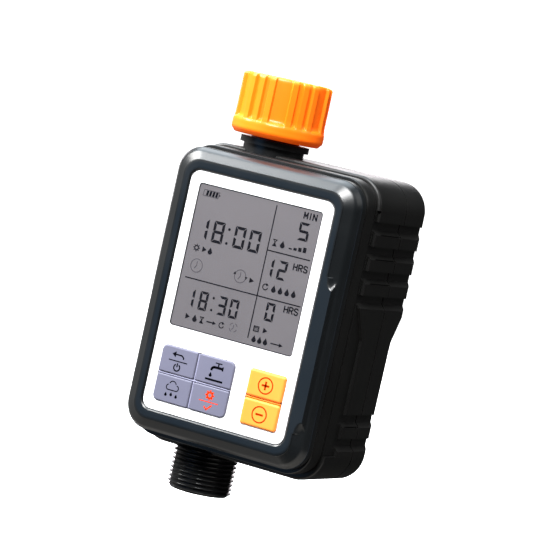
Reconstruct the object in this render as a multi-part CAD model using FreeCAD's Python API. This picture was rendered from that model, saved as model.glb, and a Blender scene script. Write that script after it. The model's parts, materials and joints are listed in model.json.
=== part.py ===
import FreeCAD, Part
import math
import os

# Drip irrigation timer: a pull-off control unit on a motor-driven ball valve for a garden tap.
# Millimetres. The model is laid out in case coordinates: x across the front, y from the front rim (0)
# to the back, z up, with z = 0 at the middle of the face panel. On export every piece is shifted so that
# the origin is on the water axis at the first thread inside the tap nut, with +Z up out of its mouth.

Vector = FreeCAD.Vector
X_DIR, Y_DIR, Z_DIR = Vector(1, 0, 0), Vector(0, 1, 0), Vector(0, 0, 1)

# Driving dimensions
AXIS_X, AXIS_Y = -15.0, 30.0        # water axis, left of the case's middle
MOUTH_Z = 91.0                      # mouth of the tap nut
OUTLET_END_Z = -79.5                # free end of the outlet thread
THREAD_R = 13.22                    # crest radius of the 3/4 inch outlet thread
THREAD_PITCH = 1.814
FACE_HALF_W, FACE_HALF_H = 32.55, 48.35     # white face panel
RIM_HALF_W, RIM_HALF_H = 36.2, 52.8         # flat front rim of the bezel
UNIT_HALF_W, UNIT_HALF_H = 42.0, 57.7       # bezel at its back edge
BEVEL_Y, UNIT_BACK_Y = 5.2, 9.0
CASE_HALF_W, CASE_TOP, CASE_BOTTOM = 42.5, 60.6, -62.4
SEAM_Y, BACK_Y_HIGH, BACK_Y_LOW = 43.3, 63.6, 57.7
GRIP_DEPTH = 2.0                    # height of the raised side blocks
WALL = 2.3
KEY_TRAVEL = 0.8
BALL_R, BALL_Z = 10.0, 24.0
NUT_LEAD_IN = 0.8                   # chamfer above the tap nut's first thread
ROW_SHIFT = Vector(-AXIS_X, -AXIS_Y, NUT_LEAD_IN - MOUTH_Z)


# ---------------------------------------------------------------- small shape helpers
def box(x0, x1, y0, y1, z0, z1):
    return Part.makeBox(x1 - x0, y1 - y0, z1 - z0, Vector(x0, y0, z0))


def edges_along(shape, direction):
    """Straight edges of a shape that run along a direction."""
    found = []
    for edge in shape.Edges:
        if isinstance(edge.Curve, Part.Line):
            run = edge.Vertexes[-1].Point - edge.Vertexes[0].Point
            if run.Length > 1e-6 and abs(abs(run.normalize().dot(direction)) - 1) < 1e-6:
                found.append(edge)
    return found


def rounded_box(x0, x1, y0, y1, z0, z1, r, direction=Y_DIR):
    solid = box(x0, x1, y0, y1, z0, z1)
    return solid.makeFillet(r, edges_along(solid, direction))


def rounded_outline(half_w, z0, z1, r, y):
    """A rounded rectangle's wire in the plane y, centred on x = 0."""
    face = [f for f in rounded_box(-half_w, half_w, y, y + 1, z0, z1, r).Faces
            if abs(f.CenterOfMass.y - y) < 1e-6][0]
    return face.OuterWire


def soften(solid, r, y):
    """Round the outer edges that lie in the plane y."""
    rim = [e for e in solid.Edges if all(abs(v.Point.y - y) < 1e-6 for v in e.Vertexes)
           and abs(e.BoundBox.YMax - e.BoundBox.YMin) < 1e-6]
    return solid.makeFillet(r, rim)


def rod(x, y, z, r, length, direction=Z_DIR):
    return Part.makeCylinder(r, length, Vector(x, y, z), direction)


def pipe(x, y, z, r_out, r_in, length, direction=Z_DIR):
    return rod(x, y, z, r_out, length, direction).cut(rod(x, y, z, r_in, length, direction))


def turned(points, x=AXIS_X, y=AXIS_Y):
    """Solid of revolution about a vertical axis from (radius, z) points."""
    corners = [Vector(x + r, y, z) for r, z in points]
    face = Part.Face(Part.makePolygon(corners + corners[:1]))
    return face.revolve(Vector(x, y, 0), Z_DIR, 360)


def ring(x, y, z, r_major, r_minor, direction=Z_DIR):
    return Part.makeTorus(r_major, r_minor, Vector(x, y, z), direction)


def joined(shapes):
    whole = shapes[0].fuse(shapes[1:]) if len(shapes) > 1 else shapes[0]
    return whole.removeSplitter()


def export(name, *shapes):
    """Write one node; several shapes are separate solids of that node."""
    solids = [s for shape in shapes for s in shape.Solids]
    for solid in solids:
        if not solid.isValid() or solid.Volume < 0.01:
            raise RuntimeError(f"{name}: bad solid, volume {solid.Volume:.3f}")
    moved = Part.makeCompound([s.translated(ROW_SHIFT) for s in solids])
    moved.exportStep(f"parts/{name}.step")
    MADE[name] = moved


MADE = {}
os.makedirs("parts", exist_ok=True)

# ---------------------------------------------------------------- outer case
GROOVE_PITCH, GROOVE_H, RAMP_H = 9.8, 5.2, 2.0
UPPER_GROOVES = [44.2 - GROOVE_PITCH * i for i in range(4)]     # top edge of each side groove
LOWER_GROOVES = [-33.4 - GROOVE_PITCH * i for i in range(2)]
BLOCK_Y_HIGH, BLOCK_Y_LOW = 21.0, 29.3      # front ends of the raised side blocks
STEP_TOP, STEP_BOTTOM = 6.5, -4.0           # where the case gets shallower going down
CASE_R, BASE_R = 12.0, 11.0
BAND_Y0, BAND_Y1 = 10.0, 18.6               # plain band behind the control unit
BAND_HALF_W, BAND_Z0, BAND_Z1 = 41.4, -59.9, 59.2
CORE_DROP = 0.4                             # depth of the line between the band and the case
FRONT_RELIEF = 1.2                          # height of the side blocks at their front ends
LINE_START_HIGH, LINE_START_LOW = 4.5, 2.0  # how far behind a block's front its top slot starts
SEAM_GAP, SEAM_GAP_DEPTH = 0.65, 0.6        # shadow gap round the parting line
SEAL_HALF_W, SEAL_Z0, SEAL_Z1 = 39.5, -60.2, 58.4     # seal in the parting line
SEAL_WIDTH, SEAL_DEPTH = 1.1, 1.1


def side_grooves(side):
    """Saw-tooth grooves across one flank: square top edge, floor, ramp back out."""
    outer, floor = side * (CASE_HALF_W + 1), side * (CASE_HALF_W - GRIP_DEPTH)
    ramp_out = side * CASE_HALF_W
    cuts = []
    starts = [BAND_Y1 + 0.6] * len(UPPER_GROOVES) + [BLOCK_Y_LOW - 3] * len(LOWER_GROOVES)
    for top, start in zip(UPPER_GROOVES + LOWER_GROOVES, starts):
        low = top - GROOVE_H
        section = [(outer, top), (floor, top), (floor, low + RAMP_H), (ramp_out, low), (outer, low)]
        wire = Part.makePolygon([Vector(x, start, z) for x, z in section + section[:1]])
        cuts.append(Part.Face(wire).extrude(Vector(0, BACK_Y_HIGH + 3 - start, 0)))
    return cuts


def flank_relief(side):
    """Takes the flank down to the band's level in front of the blocks, further back low down."""
    outer, floor = side * (CASE_HALF_W + 1), side * (CASE_HALF_W - FRONT_RELIEF)
    x0, x1 = sorted((outer, floor))
    front = [(15, CASE_TOP + 2), (BLOCK_Y_HIGH, CASE_TOP + 2), (BLOCK_Y_HIGH, 9.5), (BLOCK_Y_LOW, -3.5),
             (BLOCK_Y_LOW, CASE_BOTTOM - 2), (15, CASE_BOTTOM - 2)]
    wire = Part.makePolygon([Vector(x0, y, z) for y, z in front + front[:1]])
    slab = Part.Face(wire).extrude(Vector(x1 - x0, 0, 0))
    return slab.common(box(-60, 60, 0, 60, CASE_BOTTOM + CASE_R, CASE_TOP - CASE_R))


def case_envelope():
    """Outside of the closed valve case behind the control unit."""
    band = rounded_box(-BAND_HALF_W, BAND_HALF_W, BAND_Y0, BAND_Y1, BAND_Z0, BAND_Z1, BASE_R)
    band = soften(soften(band, 1.4, BAND_Y0), 1.4, BAND_Y1)
    core_half_w = BAND_HALF_W - CORE_DROP
    core = rounded_box(-core_half_w, core_half_w, BAND_Y0, 30, BAND_Z0 + CORE_DROP, BAND_Z1 - CORE_DROP,
                       BASE_R - CORE_DROP)
    back = rounded_box(-CASE_HALF_W, CASE_HALF_W, BAND_Y1 + 1, BACK_Y_HIGH, CASE_BOTTOM, CASE_TOP, CASE_R)
    profile = [(0, -80), (0, 80), (BACK_Y_HIGH, 80), (BACK_Y_HIGH, STEP_TOP), (BACK_Y_LOW + 0.8, STEP_BOTTOM),
               (BACK_Y_LOW, -80)]
    wire = Part.makePolygon([Vector(-60, y, z) for y, z in profile + profile[:1]])
    back = back.common(Part.Face(wire).extrude(Vector(120, 0, 0)))
    rear_rim = [e for e in back.Edges if e.BoundBox.YMin > BACK_Y_LOW - 1e-3
                and not (abs(e.BoundBox.XMin + 42) > 10 and abs(e.BoundBox.ZMax - e.BoundBox.ZMin) < 1e-3
                         and STEP_BOTTOM - 1 < e.BoundBox.ZMin < STEP_TOP + 1)]
    back = back.makeFillet(4.0, rear_rim)
    back = soften(back, 1.2, BAND_Y1 + 1)
    return band, core, back


def block_lines(side):
    """Narrow slots along the top edge of each raised block, in front of the parting line."""
    x0, x1 = sorted((side * (CASE_HALF_W - GRIP_DEPTH + 0.9), side * (CASE_HALF_W + 1)))
    starts = [BLOCK_Y_HIGH + LINE_START_HIGH] * 3 + [BLOCK_Y_LOW + LINE_START_LOW]
    tops = [top - GROOVE_H for top in UPPER_GROOVES[:3] + LOWER_GROOVES[:1]]
    return [box(x0, x1, start, SEAM_Y, top - 0.1, top + 0.4) for top, start in zip(tops, starts)]


def seam_shadow(outside):
    """Shallow gap round the case just behind the parting line, following the side grooves."""
    section = outside.slice(Y_DIR, SEAM_Y + 0.2)
    outline = max(section, key=lambda wire: wire.BoundBox.DiagonalLength)
    inner = Part.Face(outline.makeOffset2D(-SEAM_GAP_DEPTH, 2)).extrude(Vector(0, SEAM_GAP + 0.4, 0))
    slab = box(-60, 60, SEAM_Y - 0.1, SEAM_Y + SEAM_GAP, -90, 90)
    return slab.cut(inner.translated(Vector(0, -0.4, 0)))


def seal_ring(y, depth, slack=0.0):
    """Ring inside the wall at the parting line; slack makes it thinner all round."""
    outer = rounded_box(-SEAL_HALF_W + slack, SEAL_HALF_W - slack, y, y + depth, SEAL_Z0 + slack,
                        SEAL_Z1 - slack, 9.7)
    inset = SEAL_WIDTH - slack
    return outer.cut(rounded_box(-SEAL_HALF_W + inset, SEAL_HALF_W - inset, y - 1, y + depth + 1,
                                 SEAL_Z0 + inset, SEAL_Z1 - inset, 8.7))


def make_case():
    band, core, back = case_envelope()
    cuts = [c for side in (-1, 1) for c in side_grooves(side) + block_lines(side) + [flank_relief(side)]]
    back = back.cut(cuts)
    outside = joined([core.cut([c for side in (-1, 1) for c in side_grooves(side)]), band, back])
    front_half = box(-60, 60, 0, SEAM_Y, -90, 90)
    inner_half_w = CASE_HALF_W - GRIP_DEPTH - WALL
    inner_z0, inner_z1 = CASE_BOTTOM + 1.6 + WALL, CASE_TOP - 1.6 - WALL
    inner = rounded_box(-inner_half_w, inner_half_w, BAND_Y0 + 2.2, SEAM_Y + 0.1, inner_z0, inner_z1, 8)
    mouth = rounded_box(-36.4, 36.4, 0, 20, -52.4, 52.4, 6)
    neck_hole = rod(AXIS_X, AXIS_Y, 50, 12.6, 15)
    outlet_hole = rod(AXIS_X, AXIS_Y, -65, 11.9, 15)
    mid_case = outside.common(front_half).cut([inner, mouth, neck_hole, outlet_hole])
    rear_inner = rounded_box(-inner_half_w, inner_half_w, SEAM_Y - 0.1, BACK_Y_HIGH - WALL, inner_z0,
                             inner_z1, 8)
    shelf = [(0, -80), (0, 80), (BACK_Y_HIGH - WALL, 80), (BACK_Y_HIGH - WALL, STEP_TOP + 1),
             (BACK_Y_LOW - WALL, STEP_BOTTOM + 1), (BACK_Y_LOW - WALL, -80)]
    wire = Part.makePolygon([Vector(-60, y, z) for y, z in shelf + shelf[:1]])
    rear_inner = rear_inner.common(Part.Face(wire).extrude(Vector(120, 0, 0)))
    rear_half = box(-60, 60, SEAM_Y + 0.15, 80, -90, 90)
    rear_cover = outside.common(rear_half).cut([rear_inner, seam_shadow(outside)])
    bosses, holes, screws = [], [], []
    for x, z in SCREW_POSTS:
        bosses.append(rod(x, POST_Y0, z, 3.4, SEAM_Y - POST_Y0, Y_DIR))
        holes.append(rod(x, SEAM_Y - 12, z, 1.35, 12, Y_DIR))
    mid_case = mid_case.fuse([b.common(inner) for b in bosses]).cut(holes)
    rear_bosses, rear_holes = [], []
    for x, z in SCREW_POSTS:
        back_y = (BACK_Y_HIGH if z > 0 else BACK_Y_LOW)
        rear_bosses.append(rod(x, SEAM_Y + 0.15, z, 3.6, back_y - SEAM_Y - 1, Y_DIR))
        head_y = SEAM_Y + 4.0
        rear_holes.append(rod(x, SEAM_Y, z, 1.7, 10, Y_DIR))
        rear_holes.append(rod(x, head_y, z, 3.0, 30, Y_DIR))
        shank = rod(x, SEAM_Y - 10, z, 1.35, 14, Y_DIR)
        head = rod(x, head_y, z, 2.7, 2.0, Y_DIR).cut(cross_recess(x, head_y + 2.0, z))
        screws.append(joined([shank, head]))
    rear_cover = rear_cover.fuse([b.common(outside) for b in rear_bosses])
    rear_cover = rear_cover.cut(rear_holes + [seal_ring(SEAM_Y, SEAL_DEPTH)])
    return mid_case, rear_cover, screws


def cross_recess(x, y, z, arm=3.0, width=0.8, depth=1.2):
    """A cross recess that opens towards +Y."""
    return box(x - arm / 2, x + arm / 2, y - depth, y + 0.1, z - width / 2, z + width / 2).fuse(
        box(x - width / 2, x + width / 2, y - depth, y + 0.1, z - arm / 2, z + arm / 2))


POST_Y0 = 24.0
SCREW_POSTS = [(-34.0, 52.0), (34.0, 52.0), (-34.0, -53.5), (34.0, -53.5), (-36.0, 2.0), (36.0, -14.0)]
mid_case, rear_cover, case_screws = make_case()
export("mid_case", mid_case)
export("rear_cover", rear_cover)
export("case_screws", *case_screws)
export("case_seal", seal_ring(SEAM_Y + 0.1, SEAL_DEPTH - 0.15, 0.05))

# ---------------------------------------------------------------- water path
bore_r = 8.0
CHAMBER_R, CHAMBER_TOP = 16.0, 40.0
thread_top, thread_low = -62.4, OUTLET_END_Z + 0.7
n_crests = int((thread_top - thread_low) / THREAD_PITCH)
root_r = THREAD_R - 1.16


def thread_profile(top, count, crest_r, valley_r, pitch, flat=0.26):
    """Zig-zag (radius, z) points of a V thread's rings, from the top down."""
    points = []
    for i in range(count):
        z = top - i * pitch
        points += [(valley_r, z), (valley_r, z - flat), (crest_r, z - pitch / 2 + flat / 2 - 0.02),
                   (crest_r, z - pitch / 2 - flat / 2 - 0.02)]
    return points + [(valley_r, top - count * pitch)]


chamber = turned([(bore_r, OUTLET_END_Z), (bore_r, BALL_Z - 10.7), (11.2, BALL_Z - 10.7), (11.2, CHAMBER_TOP),
                  (CHAMBER_R, CHAMBER_TOP), (CHAMBER_R, 9.0), (11.6, 4.0), (11.6, thread_top)]
                 + thread_profile(thread_top, n_crests, THREAD_R, root_r, THREAD_PITCH)
                 + [(root_r - 0.3, OUTLET_END_Z)])
stem_boss = rod(AXIS_X + 13, AXIS_Y, BALL_Z, 6.2, 8.3, X_DIR)
stem_bore = rod(AXIS_X, AXIS_Y, BALL_Z, 3.75, 25, X_DIR)
ball_room = turned([(0, BALL_Z - 10.7), (0, CHAMBER_TOP), (11.2, CHAMBER_TOP), (11.2, BALL_Z - 10.7)])
CHAMBER_SCREW_PCR = 14.2
CHAMBER_SCREWS = [(AXIS_X + CHAMBER_SCREW_PCR * math.cos(math.radians(a)),
                   AXIS_Y + CHAMBER_SCREW_PCR * math.sin(math.radians(a))) for a in (45, 135, 225, 315)]
screw_holes = [rod(x, y, 30, 1.0, 10, Z_DIR) for x, y in CHAMBER_SCREWS]
o_ring_groove = pipe(AXIS_X, AXIS_Y, CHAMBER_TOP - 0.8, 12.75, 11.75, 1)
valve_chamber = chamber.fuse(stem_boss.cut(ball_room)).cut([stem_bore, o_ring_groove] + screw_holes)
export("valve_chamber", valve_chamber)

neck = turned([(7.2, 73.0), (11.6, 73.0), (11.6, 70.6), (9.8, 70.6), (9.8, 65.5), (12.4, 65.5), (12.4, 44.0),
               (CHAMBER_R, 44.0),
               (CHAMBER_R, CHAMBER_TOP), (11.1, CHAMBER_TOP), (11.1, 36.4), (bore_r, 36.4), (bore_r, 66.0), (7.2, 67.0)])
neck = neck.cut([rod(x, y, CHAMBER_TOP - 1, 1.2, 6, Z_DIR) for x, y in CHAMBER_SCREWS])
neck = neck.cut(pipe(AXIS_X, AXIS_Y, 62.9, 13.0, 11.9, 2.7))
export("inlet_neck", neck)
export("neck_collar", pipe(AXIS_X, AXIS_Y, 63.0, 14.05, 11.9, 2.5))
export("chamber_screws", *[joined([rod(x, y, 31, 1.0, 13.0, Z_DIR), rod(x, y, 44.0, 1.6, 1.6, Z_DIR)])
                           for x, y in CHAMBER_SCREWS])
export("chamber_o_ring", ring(AXIS_X, AXIS_Y, CHAMBER_TOP - 0.41, 12.25, 0.38))


def seat(z0, z1):
    ball_clear = Part.makeSphere(BALL_R + 0.05, Vector(AXIS_X, AXIS_Y, BALL_Z))
    return pipe(AXIS_X, AXIS_Y, z0, 10.9, 6.6, z1 - z0).cut(ball_clear)


export("upper_ball_seat", seat(BALL_Z + 6.4, 36.3))
export("lower_ball_seat", seat(BALL_Z - 10.6, BALL_Z - 6.4))

tap_washer = pipe(AXIS_X, AXIS_Y, 73.05, 11.9, 7.6, 2.6)
export("tap_washer", tap_washer)
filter_cup = turned([(6.3, 75.9), (6.9, 75.9), (6.9, 73.2), (6.2, 60.0), (0, 58.5), (0, 59.1), (5.6, 60.5),
                     (6.3, 73.4)])
export("inlet_filter", filter_cup.fuse(pipe(AXIS_X, AXIS_Y, 75.7, 11.2, 6.6, 0.5)))

# ---------------------------------------------------------------- tap nut
NUT_R, NUT_RIB_R, NUT_FLANGE_R = 17.2, 18.3, 18.85
NUT_BASE_Z = 66.2
NUT_THREAD_R, NUT_THREAD_ROOT_R = 12.15, 13.3
RIB_PHASE = 24.0                    # middle of one group of three ribs
nut = turned([(10.2, NUT_BASE_Z), (17.0, NUT_BASE_Z), (NUT_FLANGE_R, NUT_BASE_Z + 2.2),
              (NUT_FLANGE_R, NUT_BASE_Z + 5.2), (NUT_R, NUT_BASE_Z + 6.4), (NUT_R, MOUTH_Z - 0.8),
              (NUT_R - 0.8, MOUTH_Z), (13.1, MOUTH_Z)]
             + thread_profile(MOUTH_Z - NUT_LEAD_IN, 7, NUT_THREAD_ROOT_R, NUT_THREAD_R, THREAD_PITCH)
             + [(12.6, 76.9), (12.6, 70.4), (10.2, 70.4)])
ribs = []
for sixth in range(6):
    for step in (-1, 0, 1):
        angle = math.radians(60 * sixth + 15 * step + RIB_PHASE)
        half = math.radians(4.8)
        top_half = math.radians(3.3)
        outline = [(NUT_R - 1, half), (NUT_R, half), (NUT_RIB_R, top_half), (NUT_RIB_R, -top_half),
                   (NUT_R, -half), (NUT_R - 1, -half)]
        corners = [Vector(AXIS_X + r * math.cos(angle + a), AXIS_Y + r * math.sin(angle + a), NUT_BASE_Z + 5)
                   for r, a in outline]
        rib = Part.Face(Part.makePolygon(corners + corners[:1])).extrude(
            Vector(0, 0, MOUTH_Z - 0.6 - NUT_BASE_Z - 5))
        ribs.append(rib)
export("tap_nut", nut.fuse(ribs))


# ---------------------------------------------------------------- gear train and motor
def tooth_wheel(teeth, module, width, x, y, z, phase, bore):
    """Involute spur gear about an X axis; flanks are short flats that follow the involute."""
    pressure = math.radians(25)
    pitch_r = teeth * module / 2
    base_r, tip_r, root = pitch_r * math.cos(pressure), pitch_r + 0.8 * module, pitch_r - 1.05 * module
    backlash = 0.05 * module

    def half_angle(r):
        inv = lambda p: math.tan(p) - p
        at_r = math.acos(min(1.0, base_r / max(r, base_r)))
        return math.pi / 2 / teeth - backlash / pitch_r + inv(pressure) - inv(at_r)

    start = max(root, base_r)
    radii = [start + (tip_r - start) * k / 3 for k in range(4)]
    flank = [(root, half_angle(start))] if start > root + 1e-6 else []
    flank += [(r, half_angle(r)) for r in radii]
    corners = []
    for t in range(teeth):
        mid = phase + 2 * math.pi * t / teeth
        for r, a in flank + [(r, -a) for r, a in reversed(flank)]:
            corners.append(Vector(x, y + r * math.cos(mid - a), z + r * math.sin(mid - a)))
    wheel = Part.Face(Part.makePolygon(corners + corners[:1])).extrude(Vector(width, 0, 0))
    return wheel.cut(rod(x - 1, y, z, bore, width + 2, X_DIR))


def mesh_phase(from_phase, from_teeth, teeth, direction):
    """Phase that puts a gap of the driven wheel where a tooth of the other one points."""
    at_contact = (direction - from_phase) * from_teeth / teeth
    return direction + math.pi + at_contact + math.pi / teeth


WHEEL_T, PINION_T, MOTOR_T = 40, 12, 10
M_OUT, M_MID, M_FAST = 0.75, 0.6, 0.5
out_y, out_z = AXIS_Y, BALL_Z
dir_2, dir_1, dir_m = math.radians(-40), math.radians(80), math.radians(80)
reach_2 = M_OUT * (WHEEL_T + PINION_T) / 2
reach_1 = M_MID * (WHEEL_T + PINION_T) / 2
reach_m = M_FAST * (WHEEL_T + MOTOR_T) / 2
g2_y, g2_z = out_y + reach_2 * math.cos(dir_2), out_z + reach_2 * math.sin(dir_2)
g1_y, g1_z = g2_y + reach_1 * math.cos(dir_1), g2_z + reach_1 * math.sin(dir_1)
mo_y, mo_z = g1_y + reach_m * math.cos(dir_m), g1_z + reach_m * math.sin(dir_m)
phase_2 = mesh_phase(0.0, WHEEL_T, PINION_T, dir_2)
phase_1 = mesh_phase(0.0, WHEEL_T, PINION_T, dir_1)
phase_m = mesh_phase(0.0, WHEEL_T, MOTOR_T, dir_m)

output_gear = tooth_wheel(WHEEL_T, M_OUT, 4.0, 6.8, out_y, out_z, 0.0, 3.0)
hub_flat = box(6, 12, out_y + 2.4, out_y + 3.2, out_z - 3, out_z + 3)
web_holes = [rod(6, out_y + 9 * math.cos(a), out_z + 9 * math.sin(a), 2.4, 6, X_DIR)
             for a in (math.radians(30 + 60 * k) for k in range(6))]
export("output_gear", output_gear.cut(web_holes).fuse(
    hub_flat.common(rod(6.8, out_y, out_z, 3.0, 4.0, X_DIR))))
axle_r = 1.0
export("second_gear", joined([
    tooth_wheel(PINION_T, M_OUT, 4.9, 6.8, g2_y, g2_z, phase_2, axle_r + 0.05),
    tooth_wheel(WHEEL_T, M_MID, 3.0, 11.7, g2_y, g2_z, 0.0, axle_r + 0.05)]))
export("first_gear", joined([
    tooth_wheel(PINION_T, M_MID, 3.8, 11.5, g1_y, g1_z, phase_1, axle_r + 0.05),
    tooth_wheel(WHEEL_T, M_FAST, 2.5, 15.3, g1_y, g1_z, 0.0, axle_r + 0.05)]))
export("motor_pinion", tooth_wheel(MOTOR_T, M_FAST, 3.2, 15.2, mo_y, mo_z, phase_m, 0.75))

PLATE_A0, PLATE_A1, PLATE_B0, PLATE_B1 = 19.2, 20.6, 5.1, 6.4
plate_y0, plate_y1, plate_z0, plate_z1 = 24.5, 55.3, -4.5, 50.5
POSTS = [(27.0, 4.0), (27.5, 47.5), (52.6, -1.7)]


def gear_plate(x0, x1):
    plate = rounded_box(x0, x1, plate_y0, plate_y1, plate_z0, plate_z1, 3, X_DIR)
    return plate.cut([rod(x0 - 1, g2_y, g2_z, axle_r, 5, X_DIR), rod(x0 - 1, g1_y, g1_z, axle_r, 5, X_DIR)])


base_plate = gear_plate(PLATE_B0, PLATE_B1).cut(rod(4, out_y, out_z, 6.3, 4, X_DIR))
posts = [rod(PLATE_B1, y, z, 2.2, PLATE_A0 - PLATE_B1, X_DIR) for y, z in POSTS]
base_plate = base_plate.fuse(posts).cut([rod(8, y, z, 0.8, 12, X_DIR) for y, z in POSTS])
export("gearbox_base", base_plate)
cover_plate = gear_plate(PLATE_A0, PLATE_A1).cut([rod(19, mo_y, mo_z, 3.1, 3, X_DIR)]
                                                 + [rod(19, y, z, 1.0, 3, X_DIR) for y, z in POSTS])
export("gearbox_cover", cover_plate)
export("gearbox_screws", *[joined([rod(9, y, z, 0.8, PLATE_A1 - 9, X_DIR), rod(PLATE_A1, y, z, 1.8, 1.3, X_DIR)])
                           for y, z in POSTS])
export("gear_axles", *[rod(PLATE_B0, y, z, axle_r, PLATE_A1 - PLATE_B0, X_DIR)
                       for y, z in ((g2_y, g2_z), (g1_y, g1_z))])
motor_can = box(PLATE_A1, PLATE_A1 + 15, mo_y - 5, mo_y + 5, mo_z - 6, mo_z + 6)
motor_can = motor_can.makeFillet(2.5, edges_along(motor_can, X_DIR))
motor_nose = rod(PLATE_A1 - 1.0, mo_y, mo_z, 3.0, 1.2, X_DIR)
motor_tail = rod(PLATE_A1 + 15, mo_y, mo_z, 2.6, 0.8, X_DIR)
export("drive_motor", joined([motor_can, motor_nose, motor_tail]))
export("motor_shaft", rod(15.0, mo_y, mo_z, 0.75, PLATE_A1 - 1.0 - 15.0, X_DIR))

# ball, stem and seals
ball = Part.makeSphere(BALL_R, Vector(AXIS_X, AXIS_Y, BALL_Z))
ball = ball.cut(rod(AXIS_X, AXIS_Y - 12, BALL_Z, 6.0, 24, Y_DIR))
slot = box(AXIS_X + 7.2, AXIS_X + 12, AXIS_Y - 1.3, AXIS_Y + 1.3, BALL_Z - 6, BALL_Z + 6)
export("valve_ball", ball.cut(slot))
stem_x0 = AXIS_X + 10.1
stem = rod(stem_x0, AXIS_Y, BALL_Z, 3.65, 6.6 - stem_x0, X_DIR)
o_ring_x = (AXIS_X + 13.2, AXIS_X + 16.6)
for x in o_ring_x:
    stem = stem.cut(pipe(x - 0.85, AXIS_Y, BALL_Z, 4.0, 2.25, 1.7, X_DIR))
d_end = rod(6.6, AXIS_Y, BALL_Z, 2.95, 6.4, X_DIR).cut(box(6, 14, AXIS_Y + 2.35, AXIS_Y + 4, 15, 35))
tongue = box(AXIS_X + 7.4, stem_x0, AXIS_Y - 1.2, AXIS_Y + 1.2, BALL_Z - 3.4, BALL_Z + 3.4)
stem_tongue = tongue.common(rod(AXIS_X, AXIS_Y, BALL_Z, 3.5, 20, X_DIR))
export("valve_stem", joined([stem, d_end, stem_tongue]))
export("stem_o_rings", *[ring(x, AXIS_Y, BALL_Z, 3.0, 0.71, X_DIR) for x in o_ring_x])

# contacts and leads in the valve case
socket = box(24.0, 36.0, 20.5, 30.0, 30.0, 44.0)
socket = socket.makeFillet(1.0, edges_along(socket, Y_DIR))
socket_arm = box(PLATE_A1 + 0.05, 24.2, 25.2, 29.5, 31.0, 43.0)
PIN_PLACES = [(x, z) for x in (27.0, 30.0, 33.0) for z in (34.5, 39.5)]
pin_holes = [rod(x, 20.0, z, 0.5, 3, Y_DIR) for x, z in PIN_PLACES]
export("contact_block", joined([socket, socket_arm]).cut(pin_holes))
export("contact_pins", *[joined([rod(x, 13.0, z, 0.5, 9.5, Y_DIR), rod(x, 18.0, z, 0.9, 2.4, Y_DIR)])
                         for x, z in PIN_PLACES])


def bent_wire(points, radius):
    """Round wire along straight runs joined by the largest tangent arcs that the runs allow."""
    corners = [Vector(*p) for p in points]
    path, last = [], corners[0]
    for before, at, after in zip(corners, corners[1:], corners[2:]):
        into, out = (at - before), (after - at)
        share = 0.45 * min(into.Length, out.Length)
        into.normalize()
        out.normalize()
        start, end = at - into * share, at + out * share
        turn = into.getAngle(out)
        bend_r = share / math.tan(turn / 2)
        print(f"wire bend radius {bend_r:.1f}")
        centre_way = (out - into).normalize()
        centre = at + centre_way * (bend_r / math.cos(turn / 2))
        middle = centre - centre_way * bend_r
        path.append(Part.LineSegment(last, start).toShape())
        path.append(Part.Arc(start, middle, end).toShape())
        last = end
    path.append(Part.LineSegment(last, corners[-1]).toShape())
    spine = Part.Wire(path)
    first = (corners[1] - corners[0]).normalize()
    circle = Part.Wire(Part.makeCircle(radius, corners[0], first))
    swept = spine.makePipeShell([circle], True, True)
    print(f"wire volume {swept.Volume:.2f} against {math.pi * radius ** 2 * spine.Length:.2f}")
    return swept


leads = [bent_wire([(33.6, mo_y - 5.02, mo_z + rise), (33.2, mo_y - 9.5, mo_z + rise - 0.8),
                    (32.0, mo_y - 14.0, mo_z + rise - 0.6), (31.0, 30.2, 37.4 + rise)], 0.5)
         for rise in (-1.8, 1.8)]
export("motor_leads", *leads)

# ---------------------------------------------------------------- control unit shell
FACE_R = 4.0
WINDOW_X0, WINDOW_X1, WINDOW_Z0, WINDOW_Z1 = -28.3, 28.3, -13.9, 43.9
GREY_X0, GREY_X1, GREY_Z0, GREY_Z1 = -28.4, 5.2, -44.3, -21.8
ORANGE_X0, ORANGE_X1, ORANGE_Z0, ORANGE_Z1 = 12.2, 28.5, -44.1, -21.9
KEY_GAP = 0.9
PANEL_Y, PANEL_T = 0.5, 1.5
RIM_STEP = 0.45                     # the flat rim stands this far proud of the bevel
EAR_TOP, EAR_LOW, EAR_HALF_W = 14.5, -38.5, 40.3      # thumb ear on the right flank

flat = rounded_outline(RIM_HALF_W + 0.1, -RIM_HALF_H - 0.1, RIM_HALF_H + 0.1, 6.6, RIM_STEP)
mid = rounded_outline(40.3, -56.2, 56.2, 9.2, 2.7)
edge = rounded_outline(UNIT_HALF_W, -UNIT_HALF_H, UNIT_HALF_H, 10.5, BEVEL_Y)
shell = joined([rounded_box(-RIM_HALF_W, RIM_HALF_W, 0, RIM_STEP + 0.5, -RIM_HALF_H, RIM_HALF_H, 6.5),
                Part.makeLoft([flat, mid], True, True), Part.makeLoft([mid, edge], True, True),
                rounded_box(-UNIT_HALF_W, UNIT_HALF_W, BEVEL_Y, UNIT_BACK_Y, -UNIT_HALF_H, UNIT_HALF_H, 10.5)])
ear = box(30.0, EAR_HALF_W, 0, BEVEL_Y + 1, EAR_LOW, EAR_TOP)
ear_edges = [e for e in edges_along(ear, Z_DIR) + edges_along(ear, Y_DIR)
             if abs(e.CenterOfMass.x - EAR_HALF_W) < 1e-6
             and (e.CenterOfMass.y < 1e-6 or abs(e.CenterOfMass.y - (BEVEL_Y + 1) / 2) < 1e-6)]
shell = joined([shell, ear.makeFillet(0.9, ear_edges)])
hollow = rounded_box(-39.8, 39.8, 2.2, UNIT_BACK_Y + 1, -56.2, 56.2, 8.3).common(
    Part.makeLoft([rounded_outline(34.4, -50.2, 50.2, 5.0, 2.2),
                   rounded_outline(39.8, -56.2, 56.2, 8.3, 7.0)], True, True).fuse(
        rounded_box(-39.8, 39.8, 7.0, UNIT_BACK_Y + 1, -56.2, 56.2, 8.3)))
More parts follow.
